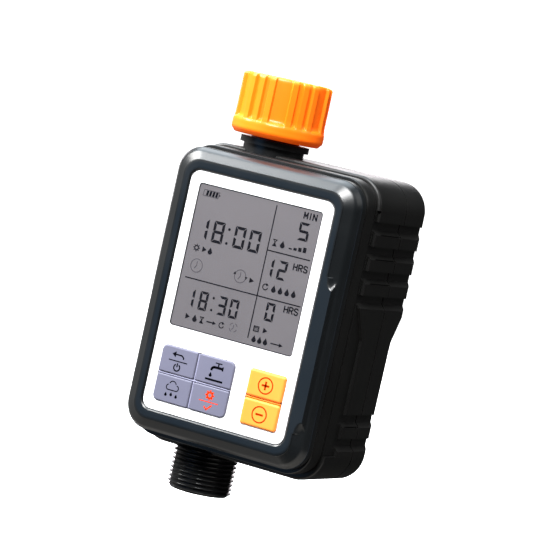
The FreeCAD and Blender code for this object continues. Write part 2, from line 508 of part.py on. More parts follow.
recess = rounded_box(-FACE_HALF_W - 0.1, FACE_HALF_W + 0.1, -1, PANEL_Y + PANEL_T, -FACE_HALF_H - 0.1,
                     FACE_HALF_H + 0.1, FACE_R)
through = rounded_box(-30.6, 30.6, -1, 5, -46.4, 46.4, 2.5)
mouth_chamfer = Part.makeLoft([rounded_outline(FACE_HALF_W + 0.9, -FACE_HALF_H - 0.9, FACE_HALF_H + 0.9, 4.8, -0.01),
                               rounded_outline(FACE_HALF_W + 0.1, -FACE_HALF_H - 0.1, FACE_HALF_H + 0.1, FACE_R, 0.8)],
                              True, True)
bezel = shell.cut([hollow, recess, through, mouth_chamfer])
UNIT_SCREWS = [(-33.8, 48.4), (33.8, 48.4), (-33.8, -48.4), (33.8, -48.4)]
export("front_bezel", bezel.fuse([rod(x, 2.2, z, 2.2, 4.6, Y_DIR) for x, z in UNIT_SCREWS]).cut(
    [rod(x, 3.4, z, 0.9, 6, Y_DIR) for x, z in UNIT_SCREWS]))

window_cut = rounded_box(WINDOW_X0, WINDOW_X1, 0, 3, WINDOW_Z0, WINDOW_Z1, 1.4)
grey_cut = rounded_box(GREY_X0 - 0.15, GREY_X1 + 0.15, 0, 3, GREY_Z0 - 0.15, GREY_Z1 + 0.15, 2.4)
orange_cut = rounded_box(ORANGE_X0 - 0.15, ORANGE_X1 + 0.15, 0, 3, ORANGE_Z0 - 0.15, ORANGE_Z1 + 0.15, 1.3)
panel = rounded_box(-FACE_HALF_W, FACE_HALF_W, PANEL_Y, PANEL_Y + PANEL_T, -FACE_HALF_H, FACE_HALF_H, FACE_R)
export("face_panel", panel.cut([window_cut, grey_cut, orange_cut]))
export("display_window", rounded_box(WINDOW_X0 + 0.05, WINDOW_X1 - 0.05, 0.7, 1.9, WINDOW_Z0 + 0.05,
                                     WINDOW_Z1 - 0.05, 1.35))
lcd_glass = box(-29.8, 29.8, 2.1, 3.9, -15.6, 45.6)
export("lcd_glass", lcd_glass)
lcd_frame = box(-30.4, 30.4, 3.95, 5.2, -16.4, 46.2).cut(box(-27.5, 27.5, 3.9, 5.3, -13.0, 43.0))
export("lcd_frame", lcd_frame)
export("backlight_sheet", box(-27.3, 27.3, 4.0, 5.1, -12.8, 42.8))

# ---------------------------------------------------------------- keys
STEM_END_Y = 4.35
GREY_TOP_Y, ORANGE_TOP_Y = -0.1, -0.4
GREY_EASE, ORANGE_EASE = 0.55, 0.9  # rounding of the key tops
GREY_R, ORANGE_R = 2.3, 1.2         # outer corners of each group of keys
WEB_Y0, WEB_Y1 = 1.5, 2.7


def key_rects(x0, x1, z0, z1, columns, rows):
    """Cells of a key cluster, left to right and top to bottom."""
    w = (x1 - x0 - KEY_GAP * (columns - 1)) / columns
    h = (z1 - z0 - KEY_GAP * (rows - 1)) / rows
    return [(x0 + c * (w + KEY_GAP), x0 + c * (w + KEY_GAP) + w, z1 - r * (h + KEY_GAP) - h, z1 - r * (h + KEY_GAP))
            for r in range(rows) for c in range(columns)]


def keycap(x0, x1, z0, z1, group, group_r, top_y, ease):
    """Low cap with eased edges on a smaller stem that reaches the switch."""
    y1 = WEB_Y1 - KEY_TRAVEL - 0.65
    g0, g1, g2, g3 = group
    cap = rounded_box(x0, x1, top_y, y1, z0, z1, ease + 0.15)
    cap = cap.common(rounded_box(g0, g1, top_y, y1, g2, g3, group_r))
    cap = soften(cap, ease, top_y)
    x, z = (x0 + x1) / 2, (z0 + z1) / 2
    return joined([cap, rounded_box(x - 3, x + 3, 0.5, STEM_END_Y, z - 3, z + 3, 1.0)])


def key_web(x0, x1, z0, z1, rects):
    """Sheet behind a key cluster with a hole for each key's stem."""
    sheet = rounded_box(x0 - 1.2, x1 + 1.2, 2.15, WEB_Y1, z0 - 1.0, z1 + 1.0, 1.0)
    return sheet.cut([box((a + b) / 2 - 3.2, (a + b) / 2 + 3.2, 1, 4, (c + d) / 2 - 3.2, (c + d) / 2 + 3.2)
                      for a, b, c, d in rects])


grey_rects = key_rects(GREY_X0, GREY_X1, GREY_Z0, GREY_Z1, 2, 2)
orange_rects = key_rects(ORANGE_X0, ORANGE_X1, ORANGE_Z0, ORANGE_Z1, 1, 2)
KEY_NAMES = ["off_key", "manual_key", "rain_key", "set_key", "plus_key", "minus_key"]
grey_group, orange_group = (GREY_X0, GREY_X1, GREY_Z0, GREY_Z1), (ORANGE_X0, ORANGE_X1, ORANGE_Z0, ORANGE_Z1)
for name, rect in zip(KEY_NAMES[:4], grey_rects):
    export(name, keycap(*rect, grey_group, GREY_R, GREY_TOP_Y, GREY_EASE))
for name, rect in zip(KEY_NAMES[4:], orange_rects):
    export(name, keycap(*rect, orange_group, ORANGE_R, ORANGE_TOP_Y, ORANGE_EASE))
export("grey_key_web", key_web(GREY_X0, GREY_X1, GREY_Z0, GREY_Z1, grey_rects))
export("orange_key_web", key_web(ORANGE_X0, ORANGE_X1, ORANGE_Z0, ORANGE_Z1, orange_rects))

# ---------------------------------------------------------------- electronics and batteries
BOARD_Y0, BOARD_Y1 = 6.7, 8.1
board = rounded_box(-36.6, 36.6, BOARD_Y0, BOARD_Y1, -53.2, 53.2, 5)
board = board.cut([rod(x, 6, z, 2.4, 4, Y_DIR) for x, z in UNIT_SCREWS])
export("circuit_board", board)
switch_solids = []
for x0, x1, z0, z1 in grey_rects + orange_rects:
    x, z = (x0 + x1) / 2, (z0 + z1) / 2
    plunger_y = STEM_END_Y + KEY_TRAVEL + 0.1
    switch_solids.append(joined([box(x - 3, x + 3, 5.6, BOARD_Y0, z - 3, z + 3),
                                 rod(x, plunger_y, z, 1.7, 5.7 - plunger_y, Y_DIR)]))
export("key_switches", *switch_solids)
export("controller_chip", box(-18, -8, 8.1, 9.3, 14, 24))

TRAY_X0, TRAY_X1, TRAY_Z0, TRAY_Z1, TRAY_Y1 = 4.0, 31.8, -51.2, -1.6, 22.0
cover = rounded_box(-36.0, 36.0, 9.4, 10.6, -52.0, 52.0, 5.6)
lip = rounded_box(-39.6, 39.6, 8.3, 9.6, -56.0, 56.0, 8.1).cut(box(-19, -7, 8, 9.35, 13, 25))
tray = rounded_box(TRAY_X0, TRAY_X1, 9.4, TRAY_Y1, TRAY_Z0, TRAY_Z1, 2)
tray_room = box(TRAY_X0 + 1.4, TRAY_X1 - 1.4, 10.5, TRAY_Y1 + 1, TRAY_Z0 + 1.4, TRAY_Z1 - 1.4)
lip_holes = [rod(x, 8, z, 1.1, 4, Y_DIR) for x, z in UNIT_SCREWS]
pad_window = box(25, 35, 8, 12, 32.5, 41.5)
unit_back = joined([cover, lip, tray]).cut([tray_room, pad_window] + lip_holes)
export("unit_back_cover", unit_back)
unit_screws = []
for x, z in UNIT_SCREWS:
    shank = rod(x, 4.4, z, 0.85, 6.4, Y_DIR)
    head = rod(x, 10.6, z, 1.9, 1.3, Y_DIR).cut(cross_recess(x, 11.9, z, 2.2, 0.6, 0.8))
    unit_screws.append(joined([shank, head]))
export("unit_screws", *unit_screws)
export("contact_pads", *[rod(x, BOARD_Y1, z, 1.1, 12.9 - BOARD_Y1, Y_DIR) for x, z in PIN_PLACES])
seal_outer = rounded_box(-38.9, 38.9, 9.6, 9.95, -55.2, 55.2, 7.4)
export("unit_seal", seal_outer.cut(rounded_box(-36.4, 36.4, 9, 11, -52.5, 52.5, 5.6)))

CELL_R, CELL_L, CELL_Y = 5.15, 44.2, 16.0
CELL_X = (11.9, 24.5)
cell_z0 = TRAY_Z0 + 1.4 + 1.3
cells = []
for x in CELL_X:
    can = rod(x, CELL_Y, cell_z0, CELL_R, CELL_L - 0.9)
    can = can.makeFillet(0.6, [e for e in can.Edges if isinstance(e.Curve, Part.Circle)])
    cells.append(joined([can, rod(x, CELL_Y, cell_z0 + CELL_L - 1.0, 1.9, 1.0)]))
export("battery_left", cells[0])
export("battery_right", cells[1])
contact_low = box(8.0, 28.4, 12.0, 20.0, TRAY_Z0 + 1.42, TRAY_Z0 + 1.85)
coil_rings = [ring(x, CELL_Y, TRAY_Z0 + 2.3, 2.6, 0.3) for x in CELL_X]
export("battery_springs", contact_low, *coil_rings)
export("battery_contacts", *[box(x - 4, x + 4, 12.0, 20.0, cell_z0 + CELL_L + 0.05, TRAY_Z1 - 1.45)
                             for x in CELL_X])

whole = Part.makeCompound(list(MADE.values())).BoundBox
print(f"{len(MADE)} nodes, x {whole.XMin:.1f} {whole.XMax:.1f}, y {whole.YMin:.1f} {whole.YMax:.1f}, "
      f"z {whole.ZMin:.1f} {whole.ZMax:.1f}")
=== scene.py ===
import json
import math

import bmesh
import bpy
import numpy as np
from mathutils import Matrix, Vector


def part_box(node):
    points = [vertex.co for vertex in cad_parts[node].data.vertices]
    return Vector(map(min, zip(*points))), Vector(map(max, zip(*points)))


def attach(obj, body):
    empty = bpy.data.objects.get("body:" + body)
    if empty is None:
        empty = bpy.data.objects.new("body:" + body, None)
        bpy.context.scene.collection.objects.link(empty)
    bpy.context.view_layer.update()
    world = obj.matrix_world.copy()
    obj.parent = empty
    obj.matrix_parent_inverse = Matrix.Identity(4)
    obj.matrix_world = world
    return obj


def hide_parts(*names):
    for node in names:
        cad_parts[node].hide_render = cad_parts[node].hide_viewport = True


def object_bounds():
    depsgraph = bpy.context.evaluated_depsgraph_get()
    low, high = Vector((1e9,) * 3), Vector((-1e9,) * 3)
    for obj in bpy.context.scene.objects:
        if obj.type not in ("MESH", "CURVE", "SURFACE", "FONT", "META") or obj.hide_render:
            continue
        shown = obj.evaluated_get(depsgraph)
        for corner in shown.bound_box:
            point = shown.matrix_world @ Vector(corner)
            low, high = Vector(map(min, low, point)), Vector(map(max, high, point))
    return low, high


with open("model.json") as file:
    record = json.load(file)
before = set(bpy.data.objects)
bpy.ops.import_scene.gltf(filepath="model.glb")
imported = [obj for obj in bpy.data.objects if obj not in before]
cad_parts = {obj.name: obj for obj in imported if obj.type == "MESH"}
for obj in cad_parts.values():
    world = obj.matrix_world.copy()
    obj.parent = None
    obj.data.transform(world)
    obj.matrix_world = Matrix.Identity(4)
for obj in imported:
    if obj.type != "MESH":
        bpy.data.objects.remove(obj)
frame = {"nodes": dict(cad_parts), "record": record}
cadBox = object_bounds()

nodes = frame["nodes"]
mm = 0.001
faceLow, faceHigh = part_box("face_panel")
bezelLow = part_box("front_bezel")[0]
# zero of the case's own drawing: middle of the white face, level with the front rim
caseZero = np.array([(faceLow.x + faceHigh.x) / 2, bezelLow.y, (faceLow.z + faceHigh.z) / 2])
waterAxis = {"x": -caseZero[0] / mm, "y": -caseZero[1] / mm}     # the row's Z axis, in case millimetres
print("frame loaded:", len(nodes), "nodes")


# meshes from grids

def toRow(points):
    # Case millimetres to row metres.
    return np.asarray(points, float) * mm + caseZero


def boxInCase(node):
    # A node's lowest and highest corners in case millimetres.
    return [(np.array(corner) - caseZero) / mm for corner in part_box(node)]


def signedVolume(points, faces):
    # Sum of the tetrahedra from the origin to each face's fan; positive when faces point outwards.
    a, b, c = points[faces[:, 0]], points[faces[:, 1]], points[faces[:, 2]]
    total = np.einsum("ij,ij->i", a, np.cross(b, c)).sum()
    if faces.shape[1] == 4:
        d = points[faces[:, 3]]
        total += np.einsum("ij,ij->i", a, np.cross(c, d)).sum()
    return total / 6


def makePiece(name, points, faces, creaseDegrees=35.0):
    # A piece from row points and a face array, turned so that its faces point outwards.
    faces = np.asarray(faces)
    if signedVolume(points - points.mean(0), faces) < 0:
        faces = faces[:, ::-1]
    mesh = bpy.data.meshes.new(name)
    mesh.from_pydata(points.tolist(), [], faces.tolist())
    mesh.polygons.foreach_set("use_smooth", np.ones(len(faces), bool))
    mesh.set_sharp_from_angle(angle=math.radians(creaseDegrees))
    piece = bpy.data.objects.new(name, mesh)
    bpy.context.scene.collection.objects.link(piece)
    return piece


def weld(piece):
    # merges the points that a closed end brings together
    shape = bmesh.new()
    shape.from_mesh(piece.data)
    bmesh.ops.remove_doubles(shape, verts=shape.verts, dist=0.0005 * mm)
    bmesh.ops.dissolve_degenerate(shape, edges=shape.edges, dist=0.0002 * mm)
    shape.to_mesh(piece.data)
    shape.free()


def ringFaces(nu, nv, closeU=True, closeV=True):
    # Quads of a grid of nu by nv points, joined end to start where it closes.
    u = np.arange(nu if closeU else nu - 1)
    v = np.arange(nv if closeV else nv - 1)
    uu, vv = np.meshgrid(u, v, indexing="ij")
    un, vn = (uu + 1) % nu, (vv + 1) % nv
    return np.stack([uu * nv + vv, un * nv + vv, un * nv + vn, uu * nv + vn], -1).reshape(-1, 4)


def smoothStep(low, high, value):
    # Eased step from 0 at low to 1 at high: three times the square less twice the cube of the share.
    t = np.clip((value - low) / (high - low), 0, 1)
    return t * t * (3 - 2 * t)


def roundTurn(count):
    # Even angles once round, as a column.
    return np.linspace(0, 2 * np.pi, count, endpoint=False)[:, None]


def turnedPiece(name, radius, height, creaseDegrees=50.0):
    # Surface of revolution: radius (angles, profile) and height (profile) about the water's axis.
    turn = roundTurn(len(radius))
    height = np.broadcast_to(height, radius.shape)
    x, y = waterAxis["x"] + radius * np.cos(turn), waterAxis["y"] + radius * np.sin(turn)
    points = np.stack([x, y, height], -1)
    return makePiece(name, toRow(points.reshape(-1, 3)), ringFaces(*radius.shape), creaseDegrees)


def denseProfile(corners, step):
    # Points along a closed (radius, height) outline, no further apart than step.
    corners = np.asarray(corners, float)
    following = np.roll(corners, -1, 0)
    out = []
    for a, b in zip(corners, following):
        count = max(1, int(math.ceil(np.linalg.norm(b - a) / step)))
        t = np.linspace(0, 1, count, endpoint=False)[:, None]
        out.append(a + (b - a) * t)
    return np.concatenate(out)


# flat marks: outlines in the face's own x and z, given a small thickness

class MarkSheet:
    # Collects thin prisms, each from a convex outline: its near face, its far face and the walls between.

    def __init__(self, front, thickness):
        self.front, self.thickness = front, thickness
        self.points, self.faces, self.count = [], [], 0

    def prisms(self, outlines):
        # outlines is an array of convex outlines, all with the same count of points
        outlines = np.asarray(outlines, float)
        k, n = outlines.shape[:2]
        x, z = outlines[..., 0], outlines[..., 1]
        turned = (x * np.roll(z, -1, 1) - np.roll(x, -1, 1) * z).sum(1) < 0
        outlines = np.where(turned[:, None, None], outlines[:, ::-1], outlines)
        near = np.stack([outlines[..., 0], np.full((k, n), self.front), outlines[..., 1]], -1)
        fan, i = np.arange(1, n - 1), np.arange(n)
        j = (i + 1) % n
        faces = np.vstack([np.column_stack([np.zeros_like(fan), fan, fan + 1]),
                           np.column_stack([np.full_like(fan, n), n + fan + 1, n + fan]),
                           np.column_stack([i, n + i, n + j]), np.column_stack([i, n + j, j])])
        starts = self.count + 2 * n * np.arange(k)
        self.points.append(np.concatenate([near, near + [0, self.thickness, 0]], 1).reshape(-1, 3))
        self.faces.append((faces + starts[:, None, None]).reshape(-1, 3))
        self.count += 2 * n * k

    def prism(self, outline):
        # one convex outline
        self.prisms([outline])

    def stroke(self, path, width, closed=False):
        # a line of even width: each run is a prism that ends a quarter width past its points
        path = np.asarray(path, float)
        a, b = (path, np.roll(path, -1, 0)) if closed else (path[:-1], path[1:])
        run = (b - a) / np.maximum(np.linalg.norm(b - a, axis=1, keepdims=True), 1e-9)
        side = np.column_stack([-run[:, 1], run[:, 0]]) * width / 2
        lap = run * width * 0.24
        self.prisms(np.stack([a - lap - side, b + lap - side, b + lap + side, a - lap + side], 1))

    def rays(self, centre, inner, outer, count, width):
        # short strokes outwards, evenly round a centre, from an inner to an outer radius
        for a in np.linspace(0, 2 * np.pi, count, endpoint=False):
            way = np.array([math.cos(a), math.sin(a)])
            self.stroke(centre + np.outer([inner, outer], way), width)

    def arrow(self, start, length, width, tipWidth, tipHeight):
        # a level stroke to the right that ends in a triangle
        end = (start[0] + length, start[1])
        self.stroke([start, end], width)
        self.play(end, tipWidth, tipHeight)

    def play(self, foot, width, height):
        # triangle that points to the right, from the middle of its upright side
        x, z = foot
        self.prism([(x, z - height / 2), (x + width, z), (x, z + height / 2)])

    def disc(self, centre, r, count=20):
        # points evenly round a circle, as one outline
        t = np.linspace(0, 2 * np.pi, count, endpoint=False)
        self.prism(np.column_stack([centre[0] + r * np.cos(t), centre[1] + r * np.sin(t)]))

    def circle(self, centre, r, width, start=0.0, end=360.0, count=28):
        # part of a ring in degrees: each step is a four cornered prism between an inner and an outer circle
        t = np.radians(np.linspace(start, end, count + 1))
        inner, outer = (np.column_stack([centre[0] + k * np.cos(t), centre[1] + k * np.sin(t)])
                        for k in (r - width / 2, r + width / 2))
        self.prisms(np.stack([inner[:-1], outer[:-1], outer[1:], inner[1:]], 1))

    def drop(self, centre, size):
        # water drop: a half disc below, narrowing to a point above
        t = np.linspace(-np.pi, 0, 12)
        r = size * 0.36
        bowl = np.column_stack([centre[0] + r * np.cos(t), centre[1] - size * 0.14 + r * np.sin(t)])
        self.prism(np.vstack([bowl, [[centre[0], centre[1] + size * 0.5]]]))

    def piece(self, name):
        # all the prisms so far, as one mesh
        return makePiece(name, toRow(np.vstack(self.points)), np.vstack(self.faces), 20.0)


# unit letters as runs of points in a box one high and one wide
letterRuns = {
    "M": [[(0, 0), (0, 1), (0.5, 0.3), (1, 1), (1, 0)]], "I": [[(0.5, 0), (0.5, 1)]],
    "N": [[(0, 0), (0, 1), (1, 0), (1, 1)]], "H": [[(0, 0), (0, 1)], [(1, 0), (1, 1)], [(0, 0.5), (1, 0.5)]],
    "R": [[(0, 0), (0, 1), (0.7, 1), (1, 0.87), (1, 0.62), (0.7, 0.48), (0, 0.48)], [(0.55, 0.48), (1, 0)]],
    "S": [[(1, 0.84), (0.75, 1), (0.25, 1), (0, 0.86), (0, 0.66), (0.25, 0.54), (0.75, 0.46), (1, 0.34),
           (1, 0.14), (0.75, 0), (0.25, 0), (0, 0.16)]],
}


def markText(sheet, letters, x, z, height, line):
    # unit letters drawn as strokes; a letter is 0.62 of its height wide, an I takes less room
    wide = height * 0.62
    for letter in letters:
        shift = x - wide / 2 + line if letter == "I" else x
        for run in letterRuns[letter]:
            sheet.stroke(np.array(run) * [wide, height] + [shift, z], line)
        x += (line * 2 if letter == "I" else wide) + line * 1.5


# materials: each finish is a small node tree on Object coordinates

def newMaterial(name):
    # An empty material, its node tree and its shader.
    material = bpy.data.materials.new(name)
    material.use_nodes = True
    return material, material.node_tree, material.node_tree.nodes["Principled BSDF"]


def objectCoords(tree, scale=(1, 1, 1)):
    # Object coordinates, stretched by scale along each axis.
    coords = tree.nodes.new("ShaderNodeTexCoord")
    mapping = tree.nodes.new("ShaderNodeMapping")
    mapping.inputs["Scale"].default_value = scale
    tree.links.new(coords.outputs["Object"], mapping.inputs["Vector"])
    return mapping.outputs["Vector"]


def noise(tree, vector, scale, detail=3.0):
    # Cloudy value about a half; scale is in cells a metre.
    node = tree.nodes.new("ShaderNodeTexNoise")
    node.inputs["Scale"].default_value = scale
    node.inputs["Detail"].default_value = detail
    tree.links.new(vector, node.inputs["Vector"])
    return node.outputs["Fac"]


def remap(tree, value, low, high, fromLow=0.3, fromHigh=0.7):
    # Straight line from (fromLow, low) to (fromHigh, high), held level outside.
    node = tree.nodes.new("ShaderNodeMapRange")
    node.inputs["From Min"].default_value, node.inputs["From Max"].default_value = fromLow, fromHigh
    node.inputs["To Min"].default_value, node.inputs["To Max"].default_value = low, high
    tree.links.new(value, node.inputs["Value"])
    return node.outputs["Result"]


def blendColours(tree, shader, factor, first, second):
    # Base colour: first where the factor is 0, second where it is 1.
    node = tree.nodes.new("ShaderNodeMix")
    node.data_type = "RGBA"
    node.inputs[6].default_value, node.inputs[7].default_value = (*first, 1), (*second, 1)
    tree.links.new(factor, node.inputs["Factor"])
    tree.links.new(node.outputs[2], shader.inputs["Base Color"])


def addBump(tree, shader, height, distance, strength=1.0):
    # Bump from a height pattern, distance metres deep where the height is 1.
    node = tree.nodes.new("ShaderNodeBump")
    node.inputs["Distance"].default_value = distance
    node.inputs["Strength"].default_value = strength
    tree.links.new(height, node.inputs["Height"])
    tree.links.new(node.outputs["Normal"], shader.inputs["Normal"])


def plastic(name, colour, roughness, grain, depth, spread, tone, specular, paintedGlow):
    # Moulded plastic: fine spark grain in the bump, slow drift in colour and gloss. Grain and depth in mm.
    # Painted glow: an even emission in the plastic's own hue that lifts the shaded sides of a bright plastic.
    material, tree, shader = newMaterial(name)
    vector = objectCoords(tree)
    fine, slow = noise(tree, vector, 1 / (grain * mm), 2.0), noise(tree, vector, 45.0)
    darker = [c * (1 - tone) for c in colour]
    lighter = [min(1, c * (1 + tone)) for c in colour]
    blendColours(tree, shader, remap(tree, slow, 0, 1), darker, lighter)
    tree.links.new(remap(tree, slow, roughness - spread, roughness + spread), shader.inputs["Roughness"])
    shader.inputs["Specular IOR Level"].default_value = specular
    # painted glow: emission in the plastic's own hue, as strong as paintedGlow
    shader.inputs["Emission Color"].default_value = (colour[0], colour[1] * 0.33, 0, 1)
    shader.inputs["Emission Strength"].default_value = paintedGlow
    addBump(tree, shader, fine, depth * mm)
    return material


def metal(name, colour, roughness, along):
    # Worked metal: streaks along one axis in bump and roughness.
    material, tree, shader = newMaterial(name)
    streaks = noise(tree, objectCoords(tree, along), 2600.0, 4.0)
    slow = noise(tree, objectCoords(tree), 120.0)
    blendColours(tree, shader, remap(tree, slow, 0, 1), [c * 0.82 for c in colour], colour)
    tree.links.new(remap(tree, streaks, roughness * 0.65, roughness * 1.35), shader.inputs["Roughness"])
    shader.inputs["Metallic"].default_value = 1.0
    addBump(tree, shader, streaks, 0.01 * mm, 0.6)
    return material


def boardGreen(name):
    # Solder mask over copper tracks: a raised brick pattern of fine lines, with pads.
    material, tree, shader = newMaterial(name)
    bricks = tree.nodes.new("ShaderNodeTexBrick")
    bricks.inputs["Scale"].default_value = 160.0
    bricks.inputs["Mortar Size"].default_value = 0.09
    bricks.inputs["Mortar Smooth"].default_value = 0.2
    turn = tree.nodes.new("ShaderNodeMapping")
    turn.inputs["Rotation"].default_value = (math.radians(90), 0, 0)
    tree.links.new(objectCoords(tree), turn.inputs["Vector"])
    tree.links.new(turn.outputs["Vector"], bricks.inputs["Vector"])
    tracks = bricks.outputs["Fac"]
    blendColours(tree, shader, tracks, (0.008, 0.10, 0.035), (0.02, 0.22, 0.08))
    shader.inputs["Roughness"].default_value = 0.32
    addBump(tree, shader, tracks, 0.035 * mm)
    return material


def cellJacket(name):
    # Battery sleeve: dark body with a copper coloured band near the top, by height, and a soft sheen.
    material, tree, shader = newMaterial(name)
    low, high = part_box("battery_left")
    coords = tree.nodes.new("ShaderNodeTexCoord")
    split = tree.nodes.new("ShaderNodeSeparateXYZ")
    tree.links.new(coords.outputs["Object"], split.inputs["Vector"])
    bandEdge = low.z + (high.z - low.z) * 0.72
    band = remap(tree, split.outputs["Z"], 0, 1, bandEdge, bandEdge + 0.2 * mm)
    rub = noise(tree, coords.outputs["Object"], 900.0)
    blendColours(tree, shader, band, (0.03, 0.035, 0.045), (0.55, 0.24, 0.09))
    tree.links.new(remap(tree, rub, 0.22, 0.34), shader.inputs["Roughness"])
    tree.links.new(remap(tree, band, 0.0, 0.7, 0, 1), shader.inputs["Metallic"])
    addBump(tree, shader, rub, 0.01 * mm)
    return material


def wovenMesh(name, colour):
    # Fine filter cloth: two crossed sets of waves as bump and shade.
    material, tree, shader = newMaterial(name)
    vector = objectCoords(tree)
    waves = []
    for axis in ("X", "Z"):
        wave = tree.nodes.new("ShaderNodeTexWave")
        wave.bands_direction = axis
        wave.inputs["Scale"].default_value = 700.0
        tree.links.new(vector, wave.inputs["Vector"])
        waves.append(wave.outputs["Fac"])
    cross = tree.nodes.new("ShaderNodeMath")
    cross.operation = "MULTIPLY"
    tree.links.new(waves[0], cross.inputs[0])
    tree.links.new(waves[1], cross.inputs[1])
    blendColours(tree, shader, cross.outputs[0], [c * 0.35 for c in colour], colour)
    shader.inputs["Roughness"].default_value = 0.5
    addBump(tree, shader, cross.outputs[0], 0.06 * mm)
    return material


def clearWindow(name):
    # Clear cover: mostly see-through, with a clean gloss and faint dust in its roughness.
    material, tree, shader = newMaterial(name)
    dust = noise(tree, objectCoords(tree), 300.0, 4.0)
    shader.inputs["Base Color"].default_value = (0.05, 0.05, 0.055, 1)
    shader.inputs["Alpha"].default_value = 0.05
    shader.inputs["Specular IOR Level"].default_value = 0.3
    shader.inputs["IOR"].default_value = 1.49
    tree.links.new(remap(tree, dust, 0.05, 0.12), shader.inputs["Roughness"])
    return material


def displayGrey(name):
    # Grey display ground: slight drift in tone and the faintest grain of the cell layer.
    material, tree, shader = newMaterial(name)
    vector = objectCoords(tree)
    slow = noise(tree, vector, 30.0, 2.0)
    fine = noise(tree, vector, 5200.0, 1.0)
    blendColours(tree, shader, remap(tree, slow, 0, 1), (0.104, 0.095, 0.101), (0.118, 0.108, 0.114))
    shader.inputs["Roughness"].default_value = 0.42
    addBump(tree, shader, fine, 0.004 * mm)
    return material


# each plastic: colour, roughness, grain, depth, spread, tone, specular and painted glow
plastics = {
    "bezelPlastic": ((0.0036, 0.0048, 0.0058), 0.33, 0.22, 0.005, 0.04, 0.12, 0.5, 0.0),
    "casePlastic": ((0.0052, 0.0052, 0.0050), 0.42, 0.20, 0.009, 0.05, 0.12, 0.35, 0.0),
    "faceWhite": ((0.88, 0.88, 0.89), 0.36, 0.30, 0.004, 0.04, 0.012, 0.3, 0.0),
    "keyGrey": ((0.126, 0.126, 0.178), 0.50, 0.16, 0.008, 0.05, 0.04, 0.3, 0.0),
    "keyOrange": ((0.95, 0.275, 0.038), 0.46, 0.16, 0.006, 0.05, 0.03, 0.3, 0.0),
    # the nut's painted glow: an even emission that lifts its shaded sides
    "nutOrange": ((0.95, 0.185, 0.006), 0.36, 0.30, 0.008, 0.05, 0.05, 0.3, 0.32),
    "fittingBlack": ((0.0050, 0.0053, 0.0058), 0.33, 0.25, 0.008, 0.05, 0.12, 0.35, 0.0),
    "innerBlack": ((0.016, 0.016, 0.018), 0.5, 0.3, 0.015, 0.06, 0.12, 0.5, 0.0),
    "innerWhite": ((0.72, 0.72, 0.70), 0.5, 0.3, 0.01, 0.06, 0.12, 0.5, 0.0),
    # lighter than keyGrey: painted highlight for the gaps between the grey keys, on real web ridges
    "webGrey": ((0.30, 0.30, 0.42), 0.5, 0.16, 0.006, 0.05, 0.04, 0.3, 0.0),
    "webOrange": ((0.95, 0.27, 0.030), 0.5, 0.16, 0.006, 0.05, 0.04, 0.3, 0.0),
    "gearboxGrey": ((0.09, 0.10, 0.12), 0.45, 0.3, 0.012, 0.06, 0.12, 0.5, 0.0),
    "gearAcetal": ((0.78, 0.78, 0.72), 0.35, 0.3, 0.006, 0.06, 0.12, 0.5, 0.0),
    "seatWhite": ((0.82, 0.82, 0.80), 0.4, 0.4, 0.006, 0.06, 0.12, 0.5, 0.0),
    "chipBlack": ((0.015, 0.015, 0.017), 0.55, 0.12, 0.012, 0.06, 0.12, 0.5, 0.0),
    "sealRubber": ((0.014, 0.014, 0.014), 0.7, 0.2, 0.015, 0.06, 0.12, 0.5, 0.0),
    "leadRed": ((0.45, 0.02, 0.015), 0.45, 0.3, 0.006, 0.06, 0.12, 0.5, 0.0),
    "markBlack": ((0.003, 0.003, 0.005), 0.6, 0.3, 0.002, 0.06, 0.12, 0.0, 0.0),
    "markFaint": ((0.052, 0.049, 0.057), 0.6, 0.3, 0.002, 0.06, 0.12, 0.0, 0.0),
    "markRed": ((0.72, 0.045, 0.008), 0.6, 0.3, 0.002, 0.06, 0.12, 0.0, 0.0),
    "markBrown": ((0.30, 0.022, 0.001), 0.6, 0.3, 0.002, 0.06, 0.12, 0.0, 0.0),
}
# each metal: colour, roughness and the stretch of its streaks
metals = {
    "screwSteel": ((0.62, 0.62, 0.62), 0.32, (1, 0.1, 1)),
    "switchSteel": ((0.66, 0.66, 0.66), 0.28, (0.1, 1, 1)),
    "motorSteel": ((0.60, 0.60, 0.62), 0.30, (0.1, 1, 1)),
    "springNickel": ((0.74, 0.73, 0.70), 0.22, (1, 1, 1)),
    "contactBrass": ((0.83, 0.62, 0.28), 0.25, (1, 1, 1)),
    "ballBrass": ((0.80, 0.62, 0.30), 0.24, (1, 1, 0.1)),
}
finishes = {name: plastic(name, *row) for name, row in plastics.items()}
finishes.update({name: metal(name, *row) for name, row in metals.items()})
for make in (displayGrey, clearWindow, boardGreen, cellJacket):
    finishes[make.__name__] = make(make.__name__)
finishes["filterCloth"] = wovenMesh("filterCloth", (0.72, 0.74, 0.75))
# a slot's finish has its name without the underscore, apart from these
slotFinish = {"window_clear": "clearWindow", "lcd_grey": "displayGrey", "web_rubber": "keyGrey",
              "switch_metal": "switchSteel", "filter_mesh": "filterCloth", "gearbox_plastic": "gearboxGrey"}


def finishOf(slot):
    # The finish that a slot's name stands for.
    first, second = slot.split("_")
    return finishes[slotFinish.get(slot, first + second.title())]


for part in frame["record"]["subparts"]:
    piece = nodes[part["node"]]
    piece.data.materials.clear()
    piece.data.materials.append(finishOf(part["material_slot"]))
nodes["orange_key_web"].data.materials[0] = finishes["keyOrange"]
print("finishes given:", len(finishes))


def dress(piece, finish, slot, body, *replaced):
    # Gives a new piece its material and body, and hides the CAD nodes it stands for. The slot is not used.
    piece.data.materials.append(finishes[finish])
    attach(piece, body)
    if replaced:
        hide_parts(*replaced)
    print("made", piece.name, len(piece.data.polygons), "faces")


# front bezel: a shaped section carried round a rounded rectangle

